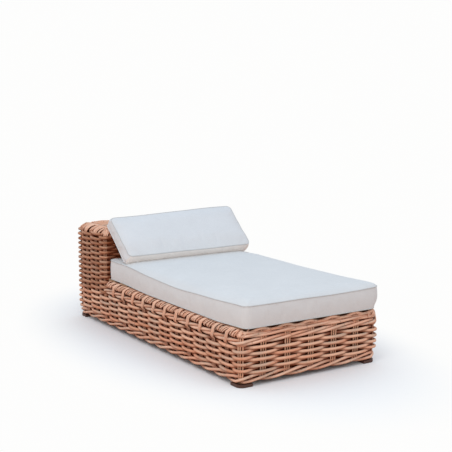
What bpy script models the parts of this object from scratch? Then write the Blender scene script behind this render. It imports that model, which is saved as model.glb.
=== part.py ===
# Woven sun lounger: rattan skin on a hardwood frame, slatted deck, boxed mattress and leaning pillow.
# Metres, +Z up, +Y towards the headboard, origin on the floor under the middle of the footprint.
import math

import bmesh
import bpy
from mathutils import Matrix, Vector

# overall
LOUNGER_LENGTH = 2.000
LOUNGER_WIDTH = 0.970
SEAT_HEIGHT = 0.318
HEADBOARD_HEIGHT = 0.645
HEADBOARD_DEPTH = 0.420
FIT_GAP = 0.0003

# woven skin
SKIRT_BOTTOM = 0.018
WEAVE_THICKNESS = 0.040
CORNER_RADIUS = 0.055
ROLL_RADIUS = 0.036
CAP_RADIUS = 0.062
CAP_SWING = 0.0135
CAP_PITCH = 0.0168
CAP_EDGE = 0.0015
ROW_PITCH = 0.0165
ROD_SWING = 0.016
ROW_GROOVE = 0.003
INNER_RELIEF = 0.0015
SIDE_STAKE_PITCH = 0.1325
END_STAKE_PITCH = 0.158
SKIRT_TUCK = 0.013
TUCK_HEIGHT = 0.150
CORNER_STEPS = 2
ROLL_STEPS = 3
ROLL_BREAK = 0.004

# hardwood frame
POST_SIZE = 0.050
RAIL_THICKNESS = 0.030
RAIL_DEPTH = 0.045
RAIL_CHAMFER = 0.003
TENON_SHOULDER = 0.008
TENON_DEPTH = 0.024
STUB_TENON_DEPTH = 0.012
PAD_TENON_DEPTH = 0.009
TENON_CLEARANCE = 0.0003
BOTTOM_RAIL_BASE = 0.026
MID_POST_WIDTH = 0.030
MID_POST_DEPTH = 0.045
FOOT_SIZE = 0.086
FOOT_INSET = 0.018
FOOT_CHAMFER = 0.003

# slatted deck
SLAT_COUNT = 10
SLAT_WIDTH = 0.090
SLAT_THICKNESS = 0.020
SLAT_CHAMFER = 0.003

# mattress
MATTRESS_SIDE_INSET = 0.038
MATTRESS_OVERHANG = 0.012
MATTRESS_HEAD_GAP = 0.013
MATTRESS_BOXING = 0.124
MATTRESS_CROWN = 0.009
MATTRESS_BASE_ROUND = 0.002
MATTRESS_CORNER = 0.032
MATTRESS_PULL = 0.006

# pillow
PILLOW_OVERWIDTH = 0.010
PILLOW_FACE = 0.325
PILLOW_BOXING = 0.080
PILLOW_FRONT_CROWN = 0.020
PILLOW_BACK_CROWN = 0.024
PILLOW_CORNER = 0.034
PILLOW_PULL = 0.008
PILLOW_LEAN = math.radians(49.0)
PILLOW_SHIFT = 0.010

# covers and zips
FABRIC_THICKNESS = 0.002
BOXING_BULGE = 0.005
ZIP_BODY = (0.016, 0.010, 0.0030)
ZIP_TAB = (0.026, 0.006, 0.0016)
ZIP_END_MARGIN = 0.080

# derived
HALF_X = LOUNGER_WIDTH / 2
HALF_Y = LOUNGER_LENGTH / 2
FOOT_FACE_Y = -HALF_Y + MATTRESS_OVERHANG
HEAD_FRONT_Y = HALF_Y - HEADBOARD_DEPTH
CAP_BASE = HEADBOARD_HEIGHT - CAP_RADIUS
FRAME_X = HALF_X - WEAVE_THICKNESS - FIT_GAP
FRAME_Y = HALF_Y - WEAVE_THICKNESS - FIT_GAP
FOOT_FRAME_Y = FOOT_FACE_Y + WEAVE_THICKNESS + FIT_GAP
HEAD_FRAME_Y = HEAD_FRONT_Y + WEAVE_THICKNESS + FIT_GAP
POST_HALF = POST_SIZE / 2
DECK_BASE = SEAT_HEIGHT - SLAT_THICKNESS
SEAT_RAIL_TOP = DECK_BASE - FIT_GAP
HEAD_RAIL_TOP = CAP_BASE - FIT_GAP
MID_POST_Y = (FOOT_FRAME_Y + HEAD_FRAME_Y) / 2
MATTRESS_WIDTH = LOUNGER_WIDTH - 2 * MATTRESS_SIDE_INSET
PILLOW_WIDTH = MATTRESS_WIDTH + PILLOW_OVERWIDTH
MATTRESS_BASE = SEAT_HEIGHT + FIT_GAP
MATTRESS_TOP = MATTRESS_BASE + MATTRESS_BASE_ROUND + MATTRESS_BOXING + MATTRESS_CROWN

for old in list(bpy.data.objects):
    bpy.data.objects.remove(old)

PALETTE = {
    "rattan": ((0.58, 0.40, 0.27), 0.55, 0.0),
    "hardwood": ((0.16, 0.075, 0.045), 0.50, 0.0),
    "slat wood": ((0.42, 0.27, 0.15), 0.55, 0.0),
    "cover fabric": ((0.80, 0.79, 0.76), 0.85, 0.0),
    "foam": ((0.83, 0.78, 0.60), 0.90, 0.0),
    "zip metal": ((0.52, 0.52, 0.53), 0.35, 1.0),
}


def finish(name, bm, palette, smooth_angle=None):
    """Turn a closed bmesh into a named object with its own material."""
    bmesh.ops.recalc_face_normals(bm, faces=bm.faces)
    if bm.calc_volume(signed=True) < 0.0:
        bmesh.ops.reverse_faces(bm, faces=bm.faces)
    mesh = bpy.data.meshes.new(name)
    bm.to_mesh(mesh)
    bm.free()
    obj = bpy.data.objects.new(name, mesh)
    bpy.context.scene.collection.objects.link(obj)
    colour, roughness, metallic = PALETTE[palette]
    material = bpy.data.materials.new(name + " " + palette)
    material.use_nodes = True
    shader = material.node_tree.nodes["Principled BSDF"]
    shader.inputs["Base Color"].default_value = (*colour, 1.0)
    shader.inputs["Roughness"].default_value = roughness
    shader.inputs["Metallic"].default_value = metallic
    mesh.materials.append(material)
    if smooth_angle is not None:
        mesh.shade_smooth()
        mesh.set_sharp_from_angle(angle=math.radians(smooth_angle))
    return obj


def add_loft(bm, rings, closed_rings=True, cap_ends=True):
    """Skin a list of equal-length point rings; the ends are closed with flat faces."""
    rows = [[bm.verts.new(p) for p in ring] for ring in rings]
    count = len(rows[0])
    for lower, upper in zip(rows, rows[1:]):
        for i in range(count if closed_rings else count - 1):
            j = (i + 1) % count
            bm.faces.new((lower[i], lower[j], upper[j], upper[i]))
    if cap_ends:
        bm.faces.new(list(reversed(rows[0])))
        bm.faces.new(rows[-1])
    return rows


def add_box(bm, centre, size):
    """Add an axis-aligned box and return its vertices."""
    made = bmesh.ops.create_cube(bm, size=1.0)
    for v in made["verts"]:
        v.co = Vector((v.co.x * size[0] + centre[0], v.co.y * size[1] + centre[1],
                       v.co.z * size[2] + centre[2]))
    return made["verts"]


def cut_pockets(obj, pockets):
    """Cut the listed (centre, size) boxes out of an object."""
    bm = bmesh.new()
    for centre, size in pockets:
        add_box(bm, centre, size)
    mesh = bpy.data.meshes.new(obj.name + " pockets")
    bm.to_mesh(mesh)
    bm.free()
    cutter = bpy.data.objects.new(obj.name + " pockets", mesh)
    bpy.context.scene.collection.objects.link(cutter)
    cutter.hide_render = True
    cutter.display_type = "WIRE"
    cut = obj.modifiers.new("pockets", "BOOLEAN")
    cut.operation = "DIFFERENCE"
    cut.solver = "EXACT"
    cut.object = cutter


# woven skin

def skirt_tuck(z):
    """How far the skin draws in towards its foot."""
    return SKIRT_TUCK * max(0.0, (TUCK_HEIGHT - z) / TUCK_HEIGHT) ** 2


def skin_section(base, top, rolled, phase):
    """Closed section of a woven panel as (depth from the outer face, height), up outside and down inside.

    Rods of neighbouring rows lie in front of and behind the stakes by turns: phase is 1 or -1 at a stake
    and 0 midway between two stakes. Also returned: pairs of outer and inner points at the same height.
    """
    woven_top = top - ROLL_RADIUS
    rows = max(2, round((woven_top - base) / ROW_PITCH))
    pitch = (woven_top - base) / rows
    section = []
    levels = []
    for row in range(rows):
        parity = 1 if row % 2 == 0 else -1
        groove_z = base + row * pitch
        crest_z = groove_z + pitch / 2
        if row % 4 == 0:
            levels.append((len(section), groove_z))
        section.append((ROD_SWING / 2 + ROW_GROOVE + skirt_tuck(groove_z), groove_z))
        section.append((ROD_SWING / 2 * (1.0 - parity * phase) + skirt_tuck(crest_z), crest_z))
    for step in range(ROLL_STEPS + 1):
        angle = math.pi / 2 * step / ROLL_STEPS
        if rolled:
            depth = ROLL_RADIUS * (1.0 - math.cos(angle))
            section.append((depth, woven_top + ROLL_RADIUS * math.sin(angle)))
        else:
            depth = (ROD_SWING / 2 + ROW_GROOVE) * (1.0 - math.sin(math.pi * step / ROLL_STEPS))
            section.append((depth, woven_top + ROLL_RADIUS * step / ROLL_STEPS))
    levels.append((len(section) - 1, top))
    inner = [(outer, len(section) + len(levels) - 1 - i) for i, (outer, _) in enumerate(levels)]
    for i, (_, z) in reversed(list(enumerate(levels))):
        section.append((WEAVE_THICKNESS - INNER_RELIEF * (i % 2), z))
    return section, inner


def woven_panel(name, start, end, outward, base, top, stakes, first_phase, roll_length):
    """Woven face between two sharp plan corners, whose ends turn 45 degrees into the rounded corners.

    The top edge is rolled over the deck for roll_length from the start, and square from there on.
    """
    start = Vector(start)
    end = Vector(end)
    outward = Vector(outward)
    run = (end - start).normalized()
    length = (end - start).length
    bend = CORNER_RADIUS * math.pi / 4
    total = length - 2 * CORNER_RADIUS + 2 * bend
    turn = math.pi / 4 - FIT_GAP / 2 / (CORNER_RADIUS - WEAVE_THICKNESS)
    arc = [turn * step / CORNER_STEPS for step in range(CORNER_STEPS + 1)]

    straight = [total * k / (2 * stakes) - bend + CORNER_RADIUS for k in range(1, 2 * stakes)]
    straight = [d for d in straight if CORNER_RADIUS + ROLL_BREAK < d < length - CORNER_RADIUS - ROLL_BREAK]
    if 0.0 < roll_length < length:
        straight = [d for d in straight if abs(d - roll_length) > 2 * ROLL_BREAK]
        straight = sorted(straight + [roll_length - ROLL_BREAK, roll_length + ROLL_BREAK])

    stations = [(CORNER_RADIUS, -angle) for angle in reversed(arc)]
    stations += [(d, 0.0) for d in straight]
    stations += [(length - CORNER_RADIUS, angle) for angle in arc]
    rings = []
    for distance, angle in stations:
        travelled = distance - CORNER_RADIUS + bend + CORNER_RADIUS * angle
        phase = first_phase * math.cos(math.pi * stakes * travelled / total)
        centre = start + run * distance - outward * CORNER_RADIUS
        normal = outward * math.cos(angle) + run * math.sin(angle)
        section, levels = skin_section(base, top, distance < roll_length, phase)
        ring = [centre + normal * (CORNER_RADIUS - depth) for depth, _ in section]
        rings.append([(p.x, p.y, z) for p, (_, z) in zip(ring, section)])
    bm = bmesh.new()
    rows = add_loft(bm, rings, cap_ends=False)
    for row in (rows[0], rows[-1]):
        for (outer_a, inner_a), (outer_b, inner_b) in zip(levels, levels[1:]):
            middle = (outer_a + outer_b) // 2
            for i in range(outer_a, middle):
                bm.faces.new((row[inner_a], row[i], row[i + 1]))
            bm.faces.new((row[inner_a], row[middle], row[inner_b]))
            for i in range(middle, outer_b):
                bm.faces.new((row[inner_b], row[i], row[i + 1]))
    finish(name, bm, "rattan", 75)


side_length = HALF_Y - FOOT_FACE_Y
side_stakes = 2 * round((side_length / SIDE_STAKE_PITCH - 1) / 2) + 1
end_stakes = 2 * round(LOUNGER_WIDTH / END_STAKE_PITCH / 2)
cheek_stakes = 2 * round((HEADBOARD_DEPTH / SIDE_STAKE_PITCH - 1) / 2) + 1
head_base = SEAT_HEIGHT + FIT_GAP
head_top = CAP_BASE - FIT_GAP
for side, sign in (("left", -1), ("right", 1)):
    woven_panel("woven_side_" + side, (sign * HALF_X, FOOT_FACE_Y), (sign * HALF_X, HALF_Y), (sign, 0),
                SKIRT_BOTTOM, SEAT_HEIGHT, side_stakes, 1, HEAD_FRONT_Y - FOOT_FACE_Y)
    woven_panel("woven_cheek_" + side, (sign * HALF_X, HEAD_FRONT_Y), (sign * HALF_X, HALF_Y), (sign, 0),
                head_base, head_top, cheek_stakes, 1, 0.0)
woven_panel("woven_foot_end", (-HALF_X, FOOT_FACE_Y), (HALF_X, FOOT_FACE_Y), (0, -1),
            SKIRT_BOTTOM, SEAT_HEIGHT, end_stakes, 1, 2 * LOUNGER_WIDTH)
woven_panel("woven_back", (-HALF_X, HALF_Y), (HALF_X, HALF_Y), (0, 1),
            SKIRT_BOTTOM, head_top, end_stakes, -1, 0.0)
woven_panel("woven_head_front", (-HALF_X, HEAD_FRONT_Y), (HALF_X, HEAD_FRONT_Y), (0, -1),
            head_base, head_top, end_stakes, 1, 0.0)


def rounded_plan(half_x, half_y, radius, pulls, side_points, corner_steps):
    """Counter-clockwise plan loop with rounded corners; each side may draw in between its corners.

    Sides run +X, +Y, -X, -Y. Every corner has an even number of steps, so its middle is a point.
    """
    corners = ((1, -1), (1, 1), (-1, 1), (-1, -1))
    loop = []
    for side in range(4):
        ax, ay = corners[side]
        bx, by = corners[(side + 1) % 4]
        start = Vector((ax * (half_x - radius), ay * (half_y - radius)))
        end = Vector((bx * (half_x - radius), by * (half_y - radius)))
        facing = Vector((math.cos(side * math.pi / 2), math.sin(side * math.pi / 2)))
        for i in range(1, side_points + 1):
            s = i / (side_points + 1)
            draw = pulls[side] * (1.0 - (2.0 * s - 1.0) ** 2)
            loop.append(start.lerp(end, s) + facing * (radius - draw))
        for i in range(corner_steps + 1):
            angle = side * math.pi / 2 + math.pi / 2 * i / corner_steps
            loop.append(end + radius * Vector((math.cos(angle), math.sin(angle))))
    return loop


def head_cap():
    """Rounded woven top of the headboard: rods laid across it, over and under stakes that run front to back."""
    half_y = HEADBOARD_DEPTH / 2
    centre_y = HALF_Y - half_y
    roll = CAP_RADIUS * math.pi / 2
    flat = HEADBOARD_DEPTH - 2 * CAP_RADIUS
    rows = round((2 * roll + flat) / CAP_PITCH)
    stake_pitch = LOUNGER_WIDTH / end_stakes

    def section(x):
        inside = HALF_X - abs(x)
        low = max(0.0, CAP_RADIUS - inside)
        narrow = max(0.0, CORNER_RADIUS - inside)
        rise = math.sqrt(CAP_RADIUS ** 2 - low ** 2) / CAP_RADIUS
        spread = 1.0 - (CORNER_RADIUS - math.sqrt(CORNER_RADIUS ** 2 - narrow ** 2)) / half_y
        loop = [(x, centre_y - half_y * spread, CAP_BASE)]
        for row in range(rows):
            travel = (row + 0.5) * (2 * roll + flat) / rows
            over = math.cos(math.pi * (x / stake_pitch + end_stakes / 2 + row))
            on_top = roll < travel < roll + flat and low == 0.0
            swing = CAP_SWING if on_top else CAP_SWING / 3
            depth = swing / 2 * (1.0 - over) + CAP_EDGE * (row % 2) / 2
            turn = min(travel, roll, 2 * roll + flat - travel) / CAP_RADIUS
            side = 1 if travel > roll + flat / 2 else -1
            y = side * (half_y - CAP_RADIUS + (CAP_RADIUS - depth) * math.cos(turn))
            if roll < travel < roll + flat:
                y = travel - roll - flat / 2
            z = CAP_BASE + (CAP_RADIUS - depth) * math.sin(turn) * rise
            loop.append((x, centre_y + y * spread, z))
        loop.append((x, centre_y + half_y * spread, CAP_BASE))
        return loop

    ends = [HALF_X - CAP_EDGE] + [HALF_X - CAP_RADIUS * step for step in (0.15, 0.36, 0.64, 1.0)]
    middle = [stake_pitch * k / 2 for k in range(1 - end_stakes, end_stakes)]
    stations = [-x for x in ends] + middle + ends[::-1]
    bm = bmesh.new()
    add_loft(bm, [section(x) for x in stations])
    finish("woven_head_cap", bm, "rattan", 75)


head_cap()


# hardwood frame

def corner_prism(name, centre, size, base, top, corner, radius, palette, chamfer=0.0, stub=0.0):
    """Square prism with one rounded vertical edge; it may carry a stub tenon below or a chamfered foot."""
    half = size / 2
    cx, cy = centre
    sx, sy = corner
    outline = []
    for i in range(6):
        angle = math.pi / 2 * i / 5
        outline.append((cx + sx * (half - radius + radius * math.cos(angle)),
                        cy + sy * (half - radius + radius * math.sin(angle))))
    outline += [(cx - sx * half, cy + sy * half), (cx - sx * half, cy - sy * half)]
    outline += [(cx + sx * half, cy - sy * half)]

    def ring(inset, z):
        shrink = (half - inset) / half
        return [(cx + (x - cx) * shrink, cy + (y - cy) * shrink, z) for x, y in outline]

    bm = bmesh.new()
    if stub:
        inner = half - TENON_SHOULDER - RAIL_CHAMFER
        add_loft(bm, [ring(half - inner, base - stub), ring(half - inner, base),
                      ring(0.0, base), ring(0.0, top)])
    elif chamfer:
        add_loft(bm, [ring(chamfer, base), ring(0.0, base + chamfer), ring(0.0, top)])
    else:
        add_loft(bm, [ring(0.0, base), ring(0.0, top)])
    return finish(name, bm, palette, 40)


def rail_solid(name, start, end, thickness, depth, tenon):
    """Chamfered rail between two shoulder points, with a tenon on each end."""
    start = Vector(start)
    end = Vector(end)
    along = (end - start).normalized()
    upright = abs(along.z) > 0.5
    across = Vector((1, 0, 0)) if upright else Vector((along.y, -along.x, 0)).normalized()
    rise = along.cross(across)

    def ring(centre, half_t, half_d, chamfer):
        pairs = ((1, 1, 0, -1), (1, 1, -1, 0), (-1, 1, 1, 0), (-1, 1, 0, -1),
                 (-1, -1, 0, 1), (-1, -1, 1, 0), (1, -1, -1, 0), (1, -1, 0, 1))
        return [centre + across * (st * half_t + ct * chamfer) + rise * (sd * half_d + cd * chamfer)
                for st, sd, ct, cd in pairs]

    half_t = thickness / 2
    half_d = depth / 2
    tenon_t = half_t - TENON_SHOULDER
    tenon_d = half_d - TENON_SHOULDER
    bm = bmesh.new()
    add_loft(bm, [ring(start - along * tenon, tenon_t, tenon_d, RAIL_CHAMFER / 2),
                  ring(start, tenon_t, tenon_d, RAIL_CHAMFER / 2),
                  ring(start, half_t, half_d, RAIL_CHAMFER),
                  ring(end, half_t, half_d, RAIL_CHAMFER),
                  ring(end, tenon_t, tenon_d, RAIL_CHAMFER / 2),
                  ring(end + along * tenon, tenon_t, tenon_d, RAIL_CHAMFER / 2)])
    return finish(name, bm, "hardwood")


def tenon_pocket(face_point, thickness_axis, thickness, depth_axis, depth, tenon):
    """Mortise box for a tenon that enters at a point on a face."""
    length = tenon + 2 * TENON_CLEARANCE
    size = [0.0, 0.0, 0.0]
    size[thickness_axis] = thickness - 2 * TENON_SHOULDER + 2 * TENON_CLEARANCE
    size[depth_axis] = depth - 2 * TENON_SHOULDER + 2 * TENON_CLEARANCE
    run_axis = 3 - thickness_axis - depth_axis
    size[run_axis] = 2 * length
    return tuple(face_point), tuple(size)


post_x = FRAME_X - POST_HALF
POSTS = {}
for side, sign in (("left", -1), ("right", 1)):
    POSTS["post_foot_" + side] = (sign * post_x, FOOT_FRAME_Y + POST_HALF, SEAT_RAIL_TOP, (sign, -1))
    POSTS["post_head_front_" + side] = (sign * post_x, HEAD_FRAME_Y + POST_HALF, HEAD_RAIL_TOP, (sign, -1))
    POSTS["post_head_back_" + side] = (sign * post_x, FRAME_Y - POST_HALF, HEAD_RAIL_TOP, (sign, 1))

bottom_z = BOTTOM_RAIL_BASE + RAIL_DEPTH / 2
seat_z = SEAT_RAIL_TOP - RAIL_DEPTH / 2
head_z = HEAD_RAIL_TOP - RAIL_DEPTH / 2

RAILS = []
for side, sign in (("left", -1), ("right", 1)):
    foot = "post_foot_" + side
    front = "post_head_front_" + side
    back = "post_head_back_" + side
    RAILS.append(("rail_bottom_" + side, foot, front, bottom_z, (sign, 0)))
    RAILS.append(("rail_seat_" + side, foot, front, seat_z, (sign, 0)))
    RAILS.append(("rail_head_bottom_" + side, front, back, bottom_z, (sign, 0)))
    RAILS.append(("rail_head_top_" + side, front, back, head_z, (sign, 0)))
for place, prefix, z, facing in (("rail_bottom_foot", "post_foot_", bottom_z, -1),
                                 ("rail_seat_foot", "post_foot_", seat_z, -1),
                                 ("rail_seat_head", "post_head_front_", seat_z, -1),
                                 ("rail_head_top_front", "post_head_front_", head_z, -1),
                                 ("rail_bottom_back", "post_head_back_", bottom_z, 1),
                                 ("rail_head_top_back", "post_head_back_", head_z, 1)):
    RAILS.append((place, prefix + "left", prefix + "right", z, (0, facing)))

pockets = {name: [] for name in POSTS}
solids = {}
for name, start_post, end_post, z, facing in RAILS:
    ax, ay, _, _ = POSTS[start_post]
    bx, by, _, _ = POSTS[end_post]
    shift = POST_HALF - RAIL_THICKNESS / 2
    run = Vector((bx - ax, by - ay, 0)).normalized()
    flush = Vector((facing[0] * shift, facing[1] * shift, z))
    start_face = Vector((ax, ay, 0)) + flush + run * POST_HALF
    end_face = Vector((bx, by, 0)) + flush - run * POST_HALF
    solids[name] = rail_solid(name, start_face + run * FIT_GAP, end_face - run * FIT_GAP,
                              RAIL_THICKNESS, RAIL_DEPTH, TENON_DEPTH)
    cross_axis = 0 if abs(run.y) > 0.5 else 1
    for post, face in ((start_post, start_face), (end_post, end_face)):
        pockets[post].append(tenon_pocket(face, cross_axis, RAIL_THICKNESS, 2, RAIL_DEPTH, TENON_DEPTH))

for name, (x, y, top, corner) in POSTS.items():
    inner_radius = CORNER_RADIUS - WEAVE_THICKNESS
    solids[name] = corner_prism(name, (x, y), POST_SIZE, SKIRT_BOTTOM, top, corner, inner_radius + 0.002,
                                "hardwood", stub=0.0 if "front" in name else PAD_TENON_DEPTH)
    cut_pockets(solids[name], pockets[name])

mid_x = FRAME_X - RAIL_THICKNESS / 2
low_face = BOTTOM_RAIL_BASE + RAIL_DEPTH
high_face = SEAT_RAIL_TOP - RAIL_DEPTH
for side, sign in (("left", -1), ("right", 1)):
    x = sign * mid_x
    rail_solid("post_mid_" + side, (x, MID_POST_Y, low_face + FIT_GAP),
               (x, MID_POST_Y, high_face - FIT_GAP), MID_POST_WIDTH, MID_POST_DEPTH, STUB_TENON_DEPTH)
    for rail, z in (("rail_bottom_", low_face), ("rail_seat_", high_face)):
        cut_pockets(solids[rail + side], [tenon_pocket((x, MID_POST_Y, z), 0, MID_POST_WIDTH,
                                                       1, MID_POST_DEPTH, STUB_TENON_DEPTH)])

stub_width = 2 * (POST_HALF - TENON_SHOULDER - RAIL_CHAMFER) + 2 * TENON_CLEARANCE
for end, y_sign, face_y, prefix in (("foot", -1, FOOT_FACE_Y, "post_foot_"),
                                    ("head", 1, HALF_Y, "post_head_back_")):
    for side, x_sign in (("left", -1), ("right", 1)):
        centre = (x_sign * (HALF_X - FOOT_INSET - FOOT_SIZE / 2),
                  face_y - y_sign * (FOOT_INSET + FOOT_SIZE / 2))
        pad = corner_prism("pad_" + end + "_" + side, centre, FOOT_SIZE, 0.0, SKIRT_BOTTOM - FIT_GAP,
                           (x_sign, y_sign), CORNER_RADIUS - FOOT_INSET, "hardwood", chamfer=FOOT_CHAMFER)
        px, py, _, _ = POSTS[prefix + side]
        cut_pockets(pad, [((px, py, SKIRT_BOTTOM - FIT_GAP),
                           (stub_width, stub_width, 2 * (PAD_TENON_DEPTH + FIT_GAP)))])


# slatted deck

def slat(name, y):
    bm = bmesh.new()
    half_w = SLAT_WIDTH / 2
    half_t = SLAT_THICKNESS / 2
    c = SLAT_CHAMFER
    half_l = FRAME_X - FIT_GAP
    z = SEAT_HEIGHT - half_t
    section = ((half_w - c, half_t), (half_w, half_t - c), (half_w, -half_t + c), (half_w - c, -half_t),
               (-half_w + c, -half_t), (-half_w, -half_t + c), (-half_w, half_t - c), (-half_w + c, half_t))
    add_loft(bm, [[(x, y + dy, z + dz) for dy, dz in section] for x in (-half_l, half_l)])
    finish(name, bm, "slat wood")


deck_start = FOOT_FRAME_Y + CORNER_RADIUS - WEAVE_THICKNESS + SLAT_WIDTH / 2
deck_end = HEAD_FRONT_Y - FIT_GAP - SLAT_WIDTH / 2
for number in range(SLAT_COUNT):
    slat("slat_%02d" % (number + 1), deck_start + (deck_end - deck_start) * number / (SLAT_COUNT - 1))


# cushions

SIDE_POINTS = 5
CORNER_POINTS = 4
STRIP = SIDE_POINTS + CORNER_POINTS + 1


def cushion_levels(boxing, top_crown, base_round):
    """(inset, height) levels of the top and of the base, from the seam inwards."""
    half = boxing / 2
    top = [(0.0, half)]
    for inset, part in ((0.010, 0.42), (0.034, 0.80), (0.095, 1.0)):
        top.append((inset, half + top_crown * part))
    base = [(0.0, -half)]
    for inset, part in ((0.012, 0.55), (0.050, 1.0)):
        base.append((inset, -half - base_round * part))
    return top, base


def cushion(name, half_x, half_y, corner, pulls, boxing, top_crown, base_round, labels, place):
    """Boxed cushion: top and base panels, four boxing strips and a foam core inside them.

    labels names the top, the base and the strips on +X, +Y, -X and -Y; place moves it to its resting pose.
    """
    plan = rounded_plan(half_x, half_y, corner, pulls, SIDE_POINTS, CORNER_POINTS)
    top, base = cushion_levels(boxing, top_crown, base_round)
    t = FABRIC_THICKNESS

    def point(p, inset, z):
        return (p.x * (half_x - inset) / half_x, p.y * (half_y - inset) / half_y, z)

    def ring(inset, z):
        return [point(p, inset, z) for p in plan]

    def make(part, bm, palette):
        bm.transform(place)
        finish(name + "_" + part, bm, palette, 50)

    for label, levels, sign in ((labels[0], top, 1), (labels[1], base, -1)):
        bm = bmesh.new()
        inner = [ring(inset + t, z - (sign * t if i else 0.0)) for i, (inset, z) in enumerate(levels)]
        add_loft(bm, list(reversed(inner)) + [ring(inset, z) for inset, z in levels])
        make(label, bm, "cover fabric")

    seam = boxing / 2 - FIT_GAP
    section = ((0.0, -seam), (-BOXING_BULGE, 0.0), (0.0, seam),
               (t, seam), (t - BOXING_BULGE, 0.0), (t, -seam))
    count = len(plan)
    half_corner = CORNER_POINTS // 2
    for side in range(4):
        first = side * STRIP - half_corner - 1
        points = [plan[(first + i) % count] for i in range(STRIP + 1)]
        nudge = FIT_GAP / 2 / (points[1] - points[0]).length
        points[0] = points[0].lerp(points[1], nudge)
        points[-1] = points[-1].lerp(points[-2], nudge)
        bm = bmesh.new()
        add_loft(bm, [[point(p, inset, z) for inset, z in section] for p in points])
        make(labels[2 + side], bm, "cover fabric")

    gap = t + FIT_GAP
    rings = [ring(inset + gap, z + gap) for inset, z in reversed(base[1:])]
    rings.append(ring(gap, -boxing / 2 + gap))
    rings.append(ring(gap - BOXING_BULGE, 0.0))
    rings.append(ring(gap, boxing / 2 - gap))
    rings += [ring(inset + gap, z - gap) for inset, z in top[1:]]
    bm = bmesh.new()
    add_loft(bm, rings)
    make("foam", bm, "foam")


def zip_slider(name, place):
    """Zip slider body with its pull tab lying along the tape; local +Z leaves the tape."""
    bm = bmesh.new()
    bx, by, bz = (d / 2 for d in ZIP_BODY)
    tx, ty, tz = ZIP_TAB
    ledge = -bz + tz
    outline = ((-bx, -by * 0.7), (bx, -by), (bx, -ty / 2), (bx + tx, -ty / 2 * 0.8),
               (bx + tx, ty / 2 * 0.8), (bx, ty / 2), (bx, by), (-bx, by * 0.7))
    floor = [bm.verts.new((x, y, -bz)) for x, y in outline]
    shelf = [bm.verts.new((x, y, ledge)) for x, y in outline]
    body = (0, 1, 2, 5, 6, 7)
    crown = {i: bm.verts.new((outline[i][0], outline[i][1], bz)) for i in body}
    bm.faces.new(list(reversed(floor)))
    for i in range(8):
        j = (i + 1) % 8
        bm.faces.new((floor[i], floor[j], shelf[j], shelf[i]))
    bm.faces.new((shelf[2], shelf[3], shelf[4], shelf[5]))
    for a, b in zip(body, body[1:] + body[:1]):
        bm.faces.new((shelf[a], shelf[b], crown[b], crown[a]))
    bm.faces.new([crown[i] for i in body])
    bm.transform(place)
    finish(name, bm, "zip metal")


mattress_head_y = HEAD_FRONT_Y - MATTRESS_HEAD_GAP
mattress_foot_y = -HALF_Y + BOXING_BULGE
mattress_half_y = (mattress_head_y - mattress_foot_y) / 2
mattress_mid_y = (mattress_head_y + mattress_foot_y) / 2
mattress_mid_z = MATTRESS_BASE + MATTRESS_BASE_ROUND + MATTRESS_BOXING / 2
mattress_place = Matrix.Translation((0.0, mattress_mid_y, mattress_mid_z))
cushion("mattress", MATTRESS_WIDTH / 2, mattress_half_y, MATTRESS_CORNER,
        (MATTRESS_PULL, 0.0, MATTRESS_PULL, MATTRESS_PULL), MATTRESS_BOXING, MATTRESS_CROWN,
        MATTRESS_BASE_ROUND, ("top_panel", "base_panel", "boxing_right", "boxing_zip", "boxing_left",
                              "boxing_foot"), mattress_place)


def pillow_placement():
    """Rest the leaning pillow on the mattress and against the rounded front edge of the headboard."""
    tilt = math.pi / 2 - PILLOW_LEAN
    up = Vector((math.cos(tilt), math.sin(tilt)))
    face = Vector((-math.sin(tilt), math.cos(tilt)))
    half = PILLOW_FACE / 2
    top, base = cushion_levels(PILLOW_BOXING, PILLOW_FRONT_CROWN, PILLOW_BACK_CROWN)
    back = [(half - inset, z) for inset, z in reversed(base)] + [(half + BOXING_BULGE, 0.0)]
    outline = back + [(-y, z) for y, z in back] + [(half - inset, z) for inset, z in top]
    lowest = min((up * y + face * z).y for y, z in outline)
    rest_z = MATTRESS_TOP + FIT_GAP - lowest
    edge = Vector((HEAD_FRONT_Y + CAP_RADIUS, HEADBOARD_HEIGHT - CAP_RADIUS))
    rest_y = edge.x - PILLOW_FACE - PILLOW_BOXING
    for _ in range(200):
        line = [Vector((rest_y, rest_z)) + up * y + face * z for y, z in [(0.0, back[0][1])] + back]
        reach = []
        for a, b in zip(line, line[1:]):
            s = max(0.0, min(1.0, (edge - a).dot(b - a) / (b - a).length_squared))
            reach.append((edge - a.lerp(b, s)).length)
        rest_y += min(reach) - CAP_RADIUS - FIT_GAP
    return Matrix.Translation((PILLOW_SHIFT, rest_y, rest_z)) @ Matrix.Rotation(tilt, 4, "X")


pillow_place = pillow_placement()
cushion("pillow", PILLOW_WIDTH / 2, PILLOW_FACE / 2, PILLOW_CORNER,
        (PILLOW_PULL, 0.0, PILLOW_PULL, 0.0), PILLOW_BOXING, PILLOW_FRONT_CROWN, PILLOW_BACK_CROWN,
        ("front_panel", "back_panel", "boxing_right", "boxing_zip", "boxing_left", "boxing_base"),
        pillow_place)

onto_tape = Matrix.Rotation(-math.pi / 2, 4, "X")
clear = BOXING_BULGE + ZIP_BODY[2] / 2 + FIT_GAP
for cushion_name, half_x, half_y, place in (
        ("mattress", MATTRESS_WIDTH / 2, mattress_half_y, mattress_place),
        ("pillow", PILLOW_WIDTH / 2, PILLOW_FACE / 2, pillow_place)):
    tape_start = Matrix.Translation((-half_x + ZIP_END_MARGIN, half_y + clear, 0.0))
    zip_slider(cushion_name + "_zip_slider", place @ tape_start @ onto_tape)
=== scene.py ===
import math
import bpy
from mathutils import Matrix, Vector


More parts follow.
